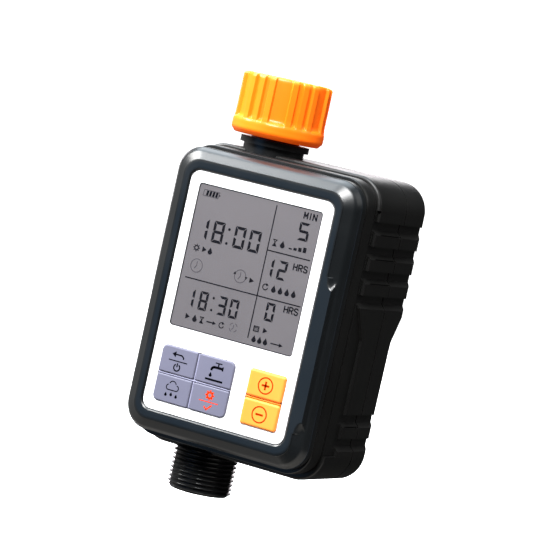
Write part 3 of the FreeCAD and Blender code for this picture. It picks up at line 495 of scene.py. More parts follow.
bezelShape = {
    "halfW": 42.0, "halfH": 57.7, "corner": 10.5,
    "rimW": 36.2, "rimH": 52.8, "rimCorner": 6.5, "rimStep": 0.45,
    "recessW": 32.65, "recessH": 48.45, "recessCorner": 4.1, "mouth": 0.8,
    "midW": 40.3, "midH": 56.2, "midCorner": 9.2, "midDepth": 2.7,
    "bevelDepth": 5.6, "chamfer": 0.86, "lead": 0.1,
    # skirt and inside: how far in from the outer edge, and how deep
    "skirt": ((0.04, 5.3), (0, 5.75), (0, 6.6), (0, 7.8), (0, 8.5), (0.12, 8.82), (0.45, 9.0), (1.8, 9.0),
              (2.2, 9.0), (2.2, 7.0), (7.6, 2.2), (8.8, 2.2)),
    "earEdge": 39.1, "earTop": 19.8, "earLow": -42.4, "scoopW": 2.7, "scoopH": 4.8, "earSlope": 3.4,
}


def roundedPath(sideCount=300, endCount=40, cornerCount=22):
    # Round trip of a rounded rectangle: for each stop, the direction out of its corner and its place on the
    # inner rectangle, both as shares. A side is a straight run and a quarter circle, turned by quarters.
    parts = []
    for k, count in enumerate((sideCount, endCount, sideCount, endCount)):
        run = np.linspace(-1, 1, count)[:-1]
        sweep = np.linspace(0, np.pi / 2, cornerCount)[:-1]
        flat, corner = np.ones_like(run), np.ones_like(sweep)
        side = np.block([[flat, np.cos(sweep)], [flat * 0, np.sin(sweep)], [flat, corner], [run, corner]])
        c, q = ((1, 0), (0, 1), (-1, 0), (0, -1))[k]
        parts.append(np.stack([c * side[0] - q * side[1], q * side[0] + c * side[1],
                               c * side[2] - q * side[3], q * side[2] + c * side[3]]))
    return np.concatenate(parts, 1)


def roundedLoop(path, halfW, halfH, corner):
    # Points of one rounded rectangle: the inner rectangle's place along the run, plus the corner radius
    # along the outward direction.
    outX, outZ, runX, runZ = path
    return runX * (halfW - corner) + corner * outX, runZ * (halfH - corner) + corner * outZ


def makeBezel():
    # The section runs from the opening's chamfer over the flat rim, down a small step and a bevel of two
    # slopes with eased joints, along the skirt and back inside. On the right flank a thumb ear carries the
    # rim on to a steep side; at its ends the depth grows from the ear's edge to the bevel as a quarter sine
    # of the distance inside an ellipse.
    s = bezelShape
    path = roundedPath()
    recess = np.array([s["recessW"], s["recessH"], s["recessCorner"], 0])
    rim = np.array([s["rimW"], s["rimH"], s["rimCorner"], 0])
    first = recess + [s["chamfer"], s["chamfer"], 0.7, 0]
    rows = [recess + [0, 0, 0, 2.2], recess + [0, 0, 0, s["mouth"] + 0.06],
            recess + [0.05, 0.05, 0, s["mouth"] - 0.04], recess + [0.76, 0.76, 0.6, 0.03], first]
    rows += [first + (rim - s["lead"] * np.array([1, 1, 1, 0]) - first) * t for t in (0.3, 0.6, 1.0)]
    bevelStart = len(rows)
    rows += [rim + [-0.02, -0.02, 0, 0.04], rim + [0.02, 0.02, 0, s["rimStep"] - 0.06],
             rim + [0.1, 0.1, 0.1, s["rimStep"]]]
    start = rows[-1]
    middle = np.array([s["midW"], s["midH"], s["midCorner"], s["midDepth"]])
    end = np.array([s["halfW"], s["halfH"], s["corner"], s["bevelDepth"]])
    rows += [start + (middle - start) * t for t in np.linspace(0, 0.8, 14)[1:]]
    join0, join1 = start + (middle - start) * 0.8, middle + (end - middle) * 0.3
    rows += [(1 - t) ** 2 * join0 + 2 * t * (1 - t) * middle + t * t * join1
             for t in np.linspace(0, 1, 8)[1:]]
    rows += [join1 + (end - join1) * t for t in np.linspace(0, 0.85, 6)[1:]]
    bevelEnd = len(rows)
    rows += [np.array([s["halfW"] - inset, s["halfH"] - inset, s["corner"] - 0.8 * inset, depth])
             for inset, depth in s["skirt"]]
    levels = np.array(rows)
    outX, outZ, runX, runZ = (v[:, None] for v in path)
    x = runX * (levels[:, 0] - levels[:, 2]) + levels[:, 2] * outX
    z = runZ * (levels[:, 1] - levels[:, 2]) + levels[:, 2] * outZ
    loops = np.stack([x, np.broadcast_to(levels[:, 3], x.shape), z], -1)
    bevel = loops[:, bevelStart:bevelEnd]
    x, z = bevel[..., 0], bevel[..., 2]
    side = np.maximum(0, x - s["earEdge"]) * s["earSlope"]
    gap = np.minimum(s["earTop"] - z, z - s["earLow"])
    along = np.clip(gap / s["scoopH"], 0, 1)
    across = np.clip((s["earEdge"] - x) / s["scoopW"], 0, 1)
    inside = np.clip((1 - np.hypot(across, along)) / 0.8, 0, 1)
    scooped = bevel[..., 1] * np.sin(np.pi / 2 * inside)
    onEar = (outX > 0.999) & (gap > 0)
    bevel[..., 1] = np.where(onEar, np.minimum(bevel[..., 1], np.maximum(side, scooped)), bevel[..., 1])
    piece = makePiece("frontBezel", toRow(loops.reshape(-1, 3)), ringFaces(len(path[0]), len(levels)), 40.0)
    dress(piece, "bezelPlastic", "bezel_plastic", "control_unit", "front_bezel")


makeBezel()

# tap nut: ribs and helical inner thread on one turned surface

nutShape = {
    # outside from the foot to the mouth's chamfer, as radius and height
    "outer": ((10.2, 66.2), (16.6, 66.2), (17.1, 66.25), (18.55, 67.9), (18.8, 68.5), (18.8, 71.2),
              (18.7, 71.8), (18.35, 72.3), (17.7, 72.75), (17.25, 73.2), (17.0, 73.9), (17.0, 89.6),
              (16.85, 90.35), (16.4, 90.85), (15.7, 91.0), (13.5, 91.0), (13.1, 90.9)),
    "inner": ((12.6, 76.9), (12.6, 73.5), (12.6, 70.4), (10.2, 70.4), (10.2, 68.5)),
    "threadTop": 90.2, "threadFoot": 77.2, "threadOuter": 13.3, "threadInner": 12.15, "pitch": 1.814,
    "body": 17.0, "rib": 18.25,
    "ribHalf": 4.9, "ribEase": 1.25, "ribPhase": 24.0, "angles": 720,
}


def nearest(points, place):
    # Which of the points lies nearest to a place.
    return np.argmin(np.hypot(*(points - place).T))


def threadWave(z, turn, pitch, flat=0.16):
    # Trapezoid wave from 0 at the root to 1 at the crest, climbing one pitch a turn.
    phase = np.mod(z / pitch - turn / (2 * np.pi), 1.0)
    ramp = np.abs(phase - 0.5) * 2
    return np.clip((ramp - flat) / (1 - 2 * flat), 0, 1)


def makeTapNut():
    # Radius by angle and height: a flange with a chamfer under it, a wall with groups of three ribs and a
    # wide plain land between groups, eased edges, and inside a thread of trapezoid section.
    s = nutShape
    upper = denseProfile(s["outer"], 0.8)
    firstWall = nearest(upper, s["outer"][-1])
    threadZ = np.arange(s["threadTop"], s["threadFoot"], -s["pitch"] / 9)
    thread = np.column_stack([np.full(len(threadZ), s["threadInner"]), threadZ])
    profile = np.vstack([upper[:firstWall + 1], thread, s["inner"]])
    radius = np.repeat(profile[None, :, 0], s["angles"], 0)
    height = profile[:, 1]
    turn = roundTurn(s["angles"])
    degrees = np.degrees(turn) - s["ribPhase"]
    group = np.mod(degrees + 30, 60) - 30
    place = np.mod(group + 7.5, 15) - 7.5
    present = np.abs(group) < 22.5
    ribs = (1 - smoothStep(s["ribHalf"] - s["ribEase"], s["ribHalf"], np.abs(place))) * present
    foot = smoothStep(72.0, 73.4, height) * (1 - smoothStep(89.9, 91.0, height) ** 2)
    index = np.arange(len(profile))
    outside = (index < firstWall) & (height > 71.0) & (profile[:, 0] > 15.0)
    radius += np.where(outside, foot, 0)[None, :] * ribs * (s["rib"] - s["body"])
    threadPart = (index > firstWall) & (index <= firstWall + len(threadZ))
    wave = threadWave(height[None, :], turn, s["pitch"])
    fade = smoothStep(s["threadFoot"], 78.6, height) * (1 - smoothStep(89.2, s["threadTop"], height))
    groove = (1 - wave) * (s["threadOuter"] - s["threadInner"])
    radius += np.where(threadPart, groove * (0.35 + 0.65 * fade), 0)
    piece = turnedPiece("tapNut", radius, height)
    dress(piece, "nutOrange", "nut_orange", "tap_nut", "tap_nut")


makeTapNut()

# valve chamber with its outlet thread, and the housing round the valve's stem

outletShape = {"end": -79.5, "threadTop": -61.4, "crest": 13.22, "root": 12.02, "pitch": 1.814, "bore": 8.0,
               "angles": 300}


def makeChamber():
    # Turned body: outlet bore and thread below, ball room above. The thread's radius is the root plus its
    # depth times the trapezoid wave, fading out at both ends.
    s = outletShape
    threadZ = np.arange(s["threadTop"], s["end"] + 0.9, -s["pitch"] / 10)
    thread = np.column_stack([np.full(len(threadZ), s["root"]), threadZ])
    top = [(s["bore"], s["end"]), (s["bore"], 13.3), (11.2, 13.3), (11.2, 40.0), (16.0, 40.0), (16.0, 9.0),
           (11.6, 4.0), (11.6, -61.0)]
    above = denseProfile(top, 6.0)
    last = nearest(above, top[-1])
    end = [(12.0, s["end"] + 0.75), (11.9, s["end"] + 0.3), (11.5, s["end"]), (9.5, s["end"]),
           (8.4, s["end"])]
    profile = np.vstack([above[:last + 1], thread, end])
    turn = roundTurn(s["angles"])
    radius = np.repeat(profile[None, :, 0], s["angles"], 0)
    height = profile[:, 1]
    index = np.arange(len(profile))
    onThread = (index > last) & (index <= last + len(threadZ))
    wave = threadWave(height[None, :], turn, s["pitch"])
    runIn = smoothStep(s["end"] + 0.5, s["end"] + 1.3, height)
    fade = runIn * (1 - smoothStep(-62.3, s["threadTop"], height))
    radius += np.where(onThread, wave * fade * (s["crest"] - s["root"]), 0)
    piece = turnedPiece("valveChamber", radius, height)
    dress(piece, "fittingBlack", "fitting_black", "valve_body", "valve_chamber")


def makeStemHousing():
    # Short tube about the stem's axis: four radii and places turned about X, with a small chamfer.
    axisY, axisZ = (sum(boxInCase("valve_stem")) / 2)[1:]
    profile = np.array([(3.75, -3.4), (5.9, -3.4), (6.2, -3.1), (6.2, 6.0), (5.9, 6.3), (3.75, 6.3)])
    turn = roundTurn(64)
    x = np.broadcast_to(profile[:, 1], (len(turn), len(profile)))
    points = np.stack([x, axisY + profile[:, 0] * np.cos(turn), axisZ + profile[:, 0] * np.sin(turn)], -1)
    piece = makePiece("stemHousing", toRow(points.reshape(-1, 3)), ringFaces(*x.shape))
    dress(piece, "fittingBlack", "fitting_black", "valve_body")


makeChamber()
makeStemHousing()

# display: numerals, dividing lines and symbols, in case millimetres on the face

displayShape = {
    "markFront": 0.74, "markThickness": 0.05, "coverFront": 0.56, "coverBack": 0.68,
    "groundFront": 0.80, "groundBack": 1.85, "corner": 1.35, "edgeWidth": 0.36, "lineWidth": 0.44,
    # each number: its digits, their left edges, then foot, width, height and bar
    "numbers": (("1800", (-25.3, -18.0, -8.2, -1.3), 21.9, 5.0, 8.6, 1.12),
                ("1830", (-23.6, -17.4, -8.7, -3.3), -5.3, 3.9, 7.5, 1.0),
                ("5", (19.2,), 31.1, 4.6, 7.1, 1.0), ("12", (7.8, 13.9), 14.1, 4.0, 7.5, 1.0),
                ("0", (12.65,), -2.7, 3.9, 7.3, 1.0)),
    "dots": (((-10.9, 28.4), 0.55), ((-10.9, 22.8), 0.55), ((-11.1, 0.6), 0.50), ((-11.1, -4.2), 0.50)),
    "lines": (((7.5, -10.9), (7.5, 42.1)), ((-25.7, 6.0), (27.1, 6.0)), ((7.6, 24.35), (26.8, 24.35))),
    # each unit: its letters, left edge and foot
    "units": (("MIN", 20.2, 39.8), ("HRS", 20.5, 19.3), ("HRS", 20.5, 2.4)),
    "unitHeight": 2.45, "unitLine": 0.5,
    "pen": 0.36, "finePen": 0.3, "arrowPen": 0.46, "dashedRing": 1.75,
}
segmentsOf = {"0": "abcdef", "1": "bc", "2": "abged", "3": "abgcd", "5": "afgcd", "8": "abcdefg"}


def displaySheet():
    # An empty mark sheet just in front of the display's ground.
    return MarkSheet(displayShape["markFront"], displayShape["markThickness"])


def dressMarks(sheet, name, finish="markBlack"):
    # Makes a sheet of display marks into a piece that moves with the unit.
    dress(sheet.piece(name), finish, "lcd_grey", "control_unit")


def digit(sheet, character, x, z, width, height, bar):
    # Seven segment numeral: each segment is a bar with mitred ends; x, z is its lower left corner.
    gap, nick, middle = bar * 0.16, bar * 0.06, z + height / 2

    def across(y, inner):
        # a level bar; inner says which way its inner edge lies: up, down or both
        a, b = x + gap, x + width - gap
        if inner == 0:
            h = bar / 2
            return [(a + h, y - h), (b - h, y - h), (b, y), (b - h, y + h), (a + h, y + h), (a, y)]
        return [(a, y), (b, y), (b - bar, y + inner * bar), (a + bar, y + inner * bar)]

    def upright(edge, inner, low, high, lowNick, highNick):
        # an upright bar; the end at the middle bar is cut back a nick and slanted less
        a, b = low + gap + lowNick, high - gap - highNick
        slantLow, slantHigh = (bar if cut == 0 else bar * 0.45 for cut in (lowNick, highNick))
        return [(edge, a), (edge + inner * bar, a + slantLow), (edge + inner * bar, b - slantHigh), (edge, b)]

    right, top = x + width, z + height
    shapes = {
        "a": across(top, -1), "d": across(z, 1), "g": across(middle, 0),
        "f": upright(x, 1, middle, top, nick, 0), "e": upright(x, 1, z, middle, 0, nick),
        "b": upright(right, -1, middle, top, nick, 0), "c": upright(right, -1, z, middle, 0, nick),
    }
    for name in segmentsOf[character]:
        sheet.prism(shapes[name])


def makeDigits():
    # Each number's digits, one left edge to each, and the dots between hours and minutes.
    sheet = displaySheet()
    for digits, starts, *size in displayShape["numbers"]:
        for character, x in zip(digits, starts):
            digit(sheet, character, x, *size)
    for centre, r in displayShape["dots"]:
        sheet.disc(centre, r, 16)
    dressMarks(sheet, "displayDigits")


def makeLines():
    # The display's dividing lines, as strokes of one width.
    sheet = displaySheet()
    for ends in displayShape["lines"]:
        sheet.stroke(ends, displayShape["lineWidth"])
    dressMarks(sheet, "displayLines")


def hourglass(sheet, x, z, size):
    # two level strokes, two crossed ones between them and a heap of sand
    h, w, pen = size / 2, size * 0.36, displayShape["pen"]
    sheet.stroke([(x - w, z + h), (x + w, z + h)], pen)
    sheet.stroke([(x - w, z - h), (x + w, z - h)], pen)
    sheet.stroke([(x - w * 0.8, z + h), (x + w * 0.8, z - h)], displayShape["finePen"])
    sheet.stroke([(x + w * 0.8, z + h), (x - w * 0.8, z - h)], displayShape["finePen"])
    sheet.prism([(x - w * 0.55, z - h), (x + w * 0.55, z - h), (x, z - h * 0.2)])


def cycleArrow(sheet, x, z, size):
    # most of a ring, with a triangle at its start
    r, start = size * 0.42, math.radians(60)
    sheet.circle((x, z), r, displayShape["pen"], 60, 350, 18)
    tipX, tipZ = x + r * math.cos(start), z + r * math.sin(start)
    sheet.prism([(tipX + 0.75, tipZ - 0.15), (tipX - 0.3, tipZ + 0.62), (tipX - 0.35, tipZ - 0.55)])


def calendar(sheet, x, z, size):
    # a box, a line under its heading and two rows of dots
    h = size / 2
    outline = [(x - h, z - h), (x + h, z - h), (x + h, z + h * 0.8), (x - h, z + h * 0.8)]
    sheet.stroke(outline, 0.34, closed=True)
    sheet.stroke([(x - h, z + h * 0.35), (x + h, z + h * 0.35)], displayShape["finePen"])
    for column in (-0.54, 0, 0.54):
        for row in (-0.15, -0.6):
            sheet.disc((x + h * column, z + h * row), 0.18, 8)


def clock(sheet, x, z, r):
    # a ring with two hands
    sheet.circle((x, z), r, 0.24)
    sheet.stroke([(x, z + r * 0.62), (x, z), (x - r * 0.3, z - r * 0.45)], 0.24)


def makeSymbols():
    # Rows of small signs, each made of a few strokes, discs and triangles.
    s = displayShape
    sheet = displaySheet()
    for x in -24.6 + 1.42 * np.arange(4):       # the battery's four bars and its end
        sheet.prism([(x, 39.3), (x + 0.95, 39.3), (x + 1.2, 41.3), (x + 0.25, 41.3)])
    sheet.disc((-18.4, 40.3), 0.3, 10)
    for letters, x, z in s["units"]:
        markText(sheet, letters, x, z, s["unitHeight"], s["unitLine"])
    sheet.circle((-23.6, 18.3), 0.80, 0.4)      # time now: a sun, a play mark and a drop
    sheet.rays((-23.6, 18.3), 1.08, 1.42, 8, s["pen"])
    sheet.play((-20.9, 18.3), 1.9, 2.2)
    sheet.drop((-17.3, 18.3), 2.8)
    sheet.play((-21.9, -8.95), 2.0, 2.3)        # start: a play mark, a drop, an hourglass and a cycle
    sheet.drop((-17.6, -9.0), 2.9)
    hourglass(sheet, -14.4, -9.0, 2.3)
    sheet.arrow((-12.0, -9.0), 2.8, s["arrowPen"], 1.5, 1.5)
    cycleArrow(sheet, -5.2, -9.0, 2.5)
    hourglass(sheet, 10.1, 27.8, 2.4)           # how long: an hourglass, a drop and rising bars
    sheet.drop((13.6, 27.8), 2.9)
    for k, x in enumerate((16.6, 18.7, 20.8, 22.9)):
        top = 27.25 + 0.5 * k
        sheet.prism([(x, 26.75), (x + 1.4, 26.75), (x + 1.4, top), (x, top)])
    cycleArrow(sheet, 10.2, 10.1, 2.7)          # how often: a cycle and drops
    for x in (14.0, 17.0, 20.0, 23.0):
        sheet.drop((x, 10.1), 2.9)
    calendar(sheet, 10.3, -6.6, 2.2)            # next: a calendar, a play mark, drops and an arrow
    sheet.play((13.4, -6.6), 1.9, 2.2)
    for x in (10.2, 12.8, 15.4):
        sheet.drop((x, -10.7), 2.8)
    sheet.arrow((17.9, -10.7), 3.7, s["arrowPen"], 1.7, 1.6)
    sheet.prism([(-4.9, 12.0), (-3.7, 12.0), (-4.3, 13.1)])     # markers beside the second clock
    sheet.prism([(0.4, 11.9), (1.6, 11.9), (1.0, 10.8)])
    sheet.prism([(2.7, 10.1), (4.8, 11.1), (2.7, 12.1), (3.25, 11.1)])
    dressMarks(sheet, "displaySymbols")


def makeFaintSymbols():
    # Two clocks, a clock in a ring of four dashes, and the battery's slanted case.
    sheet = displaySheet()
    clock(sheet, -21.9, 11.4, 2.65)
    clock(sheet, -1.7, 11.6, 2.55)
    for start in (20, 110, 200, 290):
        sheet.circle((0.2, -8.6), displayShape["dashedRing"], 0.26, start, start + 50, 5)
    sheet.stroke([(0.2, -7.6), (0.2, -8.8), (-0.4, -9.5)], 0.24)
    sheet.stroke([(-25.9, 39.1), (-18.9, 39.1), (-18.6, 41.5), (-25.6, 41.5)], 0.2, closed=True)
    dressMarks(sheet, "displayFaintSymbols", "markFaint")


def windowRings(rings):
    # Rounded rectangles of the display window, one for each depth, grow and share of full size.
    low, high = boxInCase("display_window")
    half, centre = (high - low) / 2, (low + high) / 2
    path = roundedPath(40, 40, 10)
    sheet = np.zeros((len(path[0]), len(rings), 3))
    for i, (depth, grow, share) in enumerate(rings):
        x, z = roundedLoop(path, half[0] + grow, half[2] + grow, displayShape["corner"] + grow)
        sheet[:, i] = np.column_stack([x * share + centre[0], np.full(len(x), depth), z * share + centre[2]])
    return sheet


def makeSlab(name, front, back):
    # Flat slab in the window's outline; each face closes on its middle.
    rings = [(front, 0, 0), (front, 0, 0.5), (front, 0, 1), (back, 0, 1), (back, 0, 0.5), (back, 0, 0)]
    sheet = windowRings(rings)
    faces = ringFaces(len(sheet), len(rings), closeV=False)
    piece = makePiece(name, toRow(sheet.reshape(-1, 3)), faces, 30.0)
    weld(piece)
    return piece


def makeDisplaySheets():
    # Clear cover just under the face, and the grey ground close behind it.
    s = displayShape
    cover = makeSlab("displayCover", s["coverFront"], s["coverBack"])
    dress(cover, "clearWindow", "window_clear", "control_unit", "display_window")
    ground = makeSlab("displayGround", s["groundFront"], s["groundBack"])
    dress(ground, "displayGrey", "lcd_grey", "control_unit")


def makeDisplayShadeLine():
    # Dark ring round the display: painted shade for the gap at the window's edge.
    s = displayShape
    front, back, inner = s["markFront"], s["markFront"] + s["markThickness"], -s["edgeWidth"]
    sheet = windowRings([(front, 0, 1), (back, 0, 1), (back, inner, 1), (front, inner, 1)])
    edge = makePiece("displayEdge", toRow(sheet.reshape(-1, 3)), ringFaces(len(sheet), 4), 30.0)
    # the black ring is painted shade, not print
    dress(edge, "markBlack", "lcd_grey", "control_unit")


makeDisplaySheets()
makeDigits()
makeLines()
makeSymbols()
makeFaintSymbols()
makeDisplayShadeLine()

# orange keys: pillow topped caps on smaller stems

orangeKey = {"corner": 1.1, "ease": 1.0, "sink": 0.05, "capBack": 1.23, "stemInset": 3.6}


def makeOrangeKey(node, name):
    # Rounded rectangle levels: the top closes to a line, its edge follows a quarter ellipse, and the stem
    # stands back from the cap.
    (x0, y0, z0), (x1, y1, z1) = boxInCase(node)
    s = orangeKey
    half = (z1 - z0) / 2
    turn = np.linspace(0, np.pi / 2, 9)
    rows = [(half - 1e-4, y0 + s["sink"])]
    rows += [(d, y0 + s["sink"]) for d in (3.5, 2.0, s["ease"] + 0.3)]
    rows += [(s["ease"] * (1 - math.sin(a)), y0 + s["sink"] + s["ease"] * (1 - math.cos(a))) for a in turn]
    rows += [(0, s["capBack"]), (0.02, s["capBack"] + 0.02), (s["stemInset"], s["capBack"] + 0.02),
             (s["stemInset"], y1 - 0.02), (s["stemInset"] + 0.1, y1), (half - 1e-4, y1)]
    path = roundedPath(9, 7, 8)
    loops = np.zeros((len(path[0]), len(rows), 3))
    for i, (inset, depth) in enumerate(rows):
        x, z = roundedLoop(path, (x1 - x0) / 2 - inset, half - inset, max(s["corner"] - inset, 1e-5))
        loops[:, i] = np.column_stack([x + (x0 + x1) / 2, np.full(len(x), depth), z + (z0 + z1) / 2])
    piece = makePiece(name, toRow(loops.reshape(-1, 3)), ringFaces(len(path[0]), len(rows), closeV=False))
    weld(piece)
    dress(piece, "keyOrange", "key_orange", node, node)


makeOrangeKey("plus_key", "plusKeyCap")
makeOrangeKey("minus_key", "minusKeyCap")

# web ridges: low rounded bars that fill the gaps between keys; the grey bars' lighter grey is painted
# highlight

webRidge = {"halfWidth": 0.30, "top": 0.30, "foot": 2.0, "inset": 0.25}


def ridgeBar(start, end):
    # Section of a bar: a half ellipse on a straight foot, carried from start to end.
    s = webRidge
    turn = np.linspace(0, np.pi, 11)
    across = np.concatenate([[s["halfWidth"]], s["halfWidth"] * np.cos(turn), [-s["halfWidth"]]])
    depth = np.concatenate([[s["foot"]], s["top"] + 0.3 * (1 - np.sin(turn)), [s["foot"]]])
    start, end = np.asarray(start, float), np.asarray(end, float)
    run = (end - start) / np.linalg.norm(end - start)
    side = np.array([-run[1], run[0]])
    stops = np.stack([start, start, end, end])
    shrink = np.array([1e-5, 1, 1, 1e-5])[:, None, None]
    middle = np.array([0.0, (s["foot"] + s["top"]) / 2])
    section = middle + (np.column_stack([across, depth]) - middle) * shrink
    return np.stack([stops[:, None, 0] + side[0] * section[..., 0], section[..., 1],
                     stops[:, None, 1] + side[1] * section[..., 0]], -1)


def makeRidges(name, finish, keys, bars):
    # bars are pairs of ends, each given as shares of the key group's width and height
    corners = np.array([boxInCase(key) for key in keys])
    low, high = corners[:, 0].min(0) + webRidge["inset"], corners[:, 1].max(0) - webRidge["inset"]
    points, faces = [], []
    for a, b in bars:
        ends = [(low[0] + (high[0] - low[0]) * u, low[2] + (high[2] - low[2]) * v) for u, v in (a, b)]
        grid = ridgeBar(*ends)
        block = ringFaces(grid.shape[0], grid.shape[1], closeU=False)
        faces.append(block + sum(len(p) for p in points))
        points.append(grid.reshape(-1, 3))
    piece = makePiece(name, toRow(np.vstack(points)), np.vstack(faces))
    weld(piece)
    dress(piece, finish, "web_rubber", "control_unit")


# the grey ridges take webGrey, a lighter grey that paints the highlight in the gaps
makeRidges("greyKeyRidges", "webGrey", ("off_key", "manual_key", "rain_key", "set_key"),
           (((0, 0.5), (1, 0.5)), ((0.5, 0), (0.5, 0.485)), ((0.5, 0.515), (0.5, 1))))
makeRidges("orangeKeyRidge", "webOrange", ("plus_key", "minus_key"), (((0, 0.5), (1, 0.5)),))

# key symbols, printed just proud of each key's top

keyPrint = {"thickness": 0.05, "line": 0.56, "cloudLine": 0.42, "toothLine": 0.62, "signLine": 0.80}


def keySheet(node, sink=0.0):
    # a mark sheet just above a key's top, with the key's centre
    low, high = boxInCase(node)
    x, _, z = (low + high) / 2
    return MarkSheet(low[1] + sink - keyPrint["thickness"] * 0.6, keyPrint["thickness"]), x, z


def offSymbol():
    # A bent arrow back above a line, and an open ring with a stroke below it.
    sheet, x, z = keySheet("off_key")
    line = keyPrint["line"]
    sheet.stroke([(x - 4.2, z - 0.1), (x + 4.2, z - 0.1)], line * 0.75)
    sheet.circle((x, z - 2.6), 1.35, line, 120, 420, 20)
    sheet.stroke([(x, z - 2.3), (x, z - 0.95)], line)
    sheet.prism([(x - 3.2, z + 2.5), (x - 1.5, z + 1.3), (x - 1.5, z + 3.7)])
    sheet.stroke([(x - 1.5, z + 2.5), (x + 1.2, z + 2.5), (x + 2.2, z + 1.7), (x + 2.2, z + 1.2)], line)
    dress(sheet.piece("offSymbol"), "markBlack", "key_grey", "off_key")


def tapSymbol():
    # A tap built of four boxes and a bent spout, a drop and a line under it.
    sheet, x, z = keySheet("manual_key")
    x, z = x + 0.6, z + 0.2
    sheet.prism([(x - 1.1, z + 3.0), (x + 2.0, z + 3.0), (x + 2.0, z + 3.45), (x - 1.1, z + 3.45)])
    sheet.prism([(x + 0.15, z + 1.9), (x + 0.75, z + 1.9), (x + 0.75, z + 3.1), (x + 0.15, z + 3.1)])
    sheet.prism([(x - 1.2, z + 0.95), (x + 2.6, z + 0.95), (x + 2.6, z + 1.95), (x - 1.2, z + 1.95)])
    sheet.prism([(x + 2.3, z + 0.6), (x + 2.9, z + 0.6), (x + 2.9, z + 2.3), (x + 2.3, z + 2.3)])
    t = np.radians(np.linspace(90, 180, 8))
    sheet.stroke(np.column_stack([x - 1.1 + 1.3 * np.cos(t), z + 0.15 + 1.3 * np.sin(t)]), 0.95)
    sheet.drop((x - 2.4, z - 1.7), 2.0)
    sheet.stroke([(x - 4.2, z - 3.7), (x + 3.4, z - 3.7)], 0.8)
    dress(sheet.piece("tapSymbol"), "markBlack", "key_grey", "manual_key")


def cloudSymbol():
    # Three arcs on a flat foot, and three drops.
    sheet, x, z = keySheet("rain_key")
    z += 1.3
    bumps = ((-1.7, -0.4, 1.05, 100, 285), (0.0, 0.75, 1.5, 15, 165), (1.75, -0.35, 1.1, -100, 85))
    for dx, dz, r, start, end in bumps:
        sheet.circle((x + dx, z + dz), r, keyPrint["cloudLine"], start, end, 14)
    sheet.stroke([(x - 1.5, z - 1.42), (x + 1.6, z - 1.42)], keyPrint["cloudLine"])
    for dx, dz in ((-2.4, -3.4), (0.0, -3.0), (2.4, -3.4)):
        sheet.drop((x + dx, z + dz), 1.7)
    dress(sheet.piece("cloudSymbol"), "markBlack", "key_grey", "rain_key")


def setSymbol():
    # A toothed wheel above a line, and a tick below it.
    sheet, x, z = keySheet("set_key")
    sheet.circle((x, z + 2.1), 1.15, 0.85, count=24)
    sheet.rays((x, z + 2.1), 1.4, 1.95, 8, keyPrint["toothLine"])
    sheet.stroke([(x - 4.3, z - 0.6), (x + 4.3, z - 0.6)], 0.36)
    sheet.stroke([(x - 1.5, z - 2.7), (x - 0.4, z - 3.7), (x + 1.7, z - 1.7)], keyPrint["toothLine"])
    dress(sheet.piece("setSymbol"), "markRed", "key_grey", "set_key")


def ringSymbol(node, name, upright):
    # A ring round a level stroke, and an upright one where the sign is a plus.
    sheet, x, z = keySheet(node, orangeKey["sink"])
    sheet.circle((x, z), 3.15, 0.52, count=40)
    sheet.stroke([(x - 1.5, z), (x + 1.5, z)], keyPrint["signLine"])
    if upright:
        sheet.stroke([(x, z - 1.5), (x, z + 1.5)], keyPrint["signLine"])
    dress(sheet.piece(name), "markBrown", "key_orange", node)


offSymbol()
tapSymbol()
cloudSymbol()
setSymbol()
ringSymbol("plus_key", "plusSymbol", True)
ringSymbol("minus_key", "minusSymbol", False)

# stage, lights and camera

view = {"turn": 27.70, "rise": 3.93, "roll": 12.51, "distance": 1177.85, "focus": 3022.3, "targetX": 13.67,
        "targetZ": 15.63, "frame": 550.0, "sensor": 36.0}
stageShape = {"drop": 60.0, "reach": 2400.0, "bend": 500.0}


def cameraAxes():
    # Unit vectors from the object to the camera, to its right and upwards, from turn, rise and roll.
    a, e, r = (math.radians(view[k]) for k in ("turn", "rise", "roll"))
    back = Vector((math.sin(a) * math.cos(e), -math.cos(a) * math.cos(e), math.sin(e)))
    level = Vector((math.cos(a), math.sin(a), 0))
    up = back.cross(level)
    return math.cos(r) * level + math.sin(r) * up, math.cos(r) * up - math.sin(r) * level, back


def makeCamera():
    # The camera stands back from its target by the distance; its lens is the focus as a share of the frame.
    right, up, back = cameraAxes()
    data = bpy.data.cameras.new("studioCamera")
    data.sensor_width = view["sensor"]
    data.lens = view["sensor"] * view["focus"] / view["frame"]
    data.clip_end = 20
    camera = bpy.data.objects.new("studioCamera", data)
    target = Vector(toRow((view["targetX"], 0, view["targetZ"])))
    place = target + back * view["distance"] * mm
    turn = Matrix((right, up, back)).transposed().to_4x4()
    camera.matrix_world = Matrix.Translation(place) @ turn
    bpy.context.scene.collection.objects.link(camera)
    bpy.context.scene.camera = camera
    return target


def makeStage():
    # Floor and back wall in one sheet: flat, then a quarter circle, then upright, swept sideways.
    s = stageShape
    floorZ = (cadBox[0][2] - caseZero[2]) / mm - s["drop"]
    t = np.linspace(0, np.pi / 2, 16)
    y = np.concatenate([[-s["reach"]], s["reach"] - s["bend"] + s["bend"] * np.sin(t), [s["reach"]]])
    z = np.concatenate([[0], s["bend"] * (1 - np.cos(t)), [s["reach"] * 1.3]])
    x = np.array([[-1.4], [1.4]]) * s["reach"]
    points = np.stack(np.broadcast_arrays(x, y, z + floorZ), -1).reshape(-1, 3)
    mesh = bpy.data.meshes.new("stageFloor")
    mesh.from_pydata(toRow(points).tolist(), [], ringFaces(2, len(y), False, False).tolist())
    mesh.polygons.foreach_set("use_smooth", np.ones(len(mesh.polygons), bool))
    floor = bpy.data.objects.new("stageFloor", mesh)
    bpy.context.scene.collection.objects.link(floor)
    material, _, shader = newMaterial("stagePale")
    shader.inputs["Base Color"].default_value = (0.90, 0.90, 0.90, 1)
    shader.inputs["Roughness"].default_value = 0.9
    shader.inputs["Emission Color"].default_value = (1, 1, 1, 1)
    shader.inputs["Emission Strength"].default_value = 0.92
    mesh.materials.append(material)
    floor.visible_glossy = floor.visible_diffuse = floor.visible_shadow = False


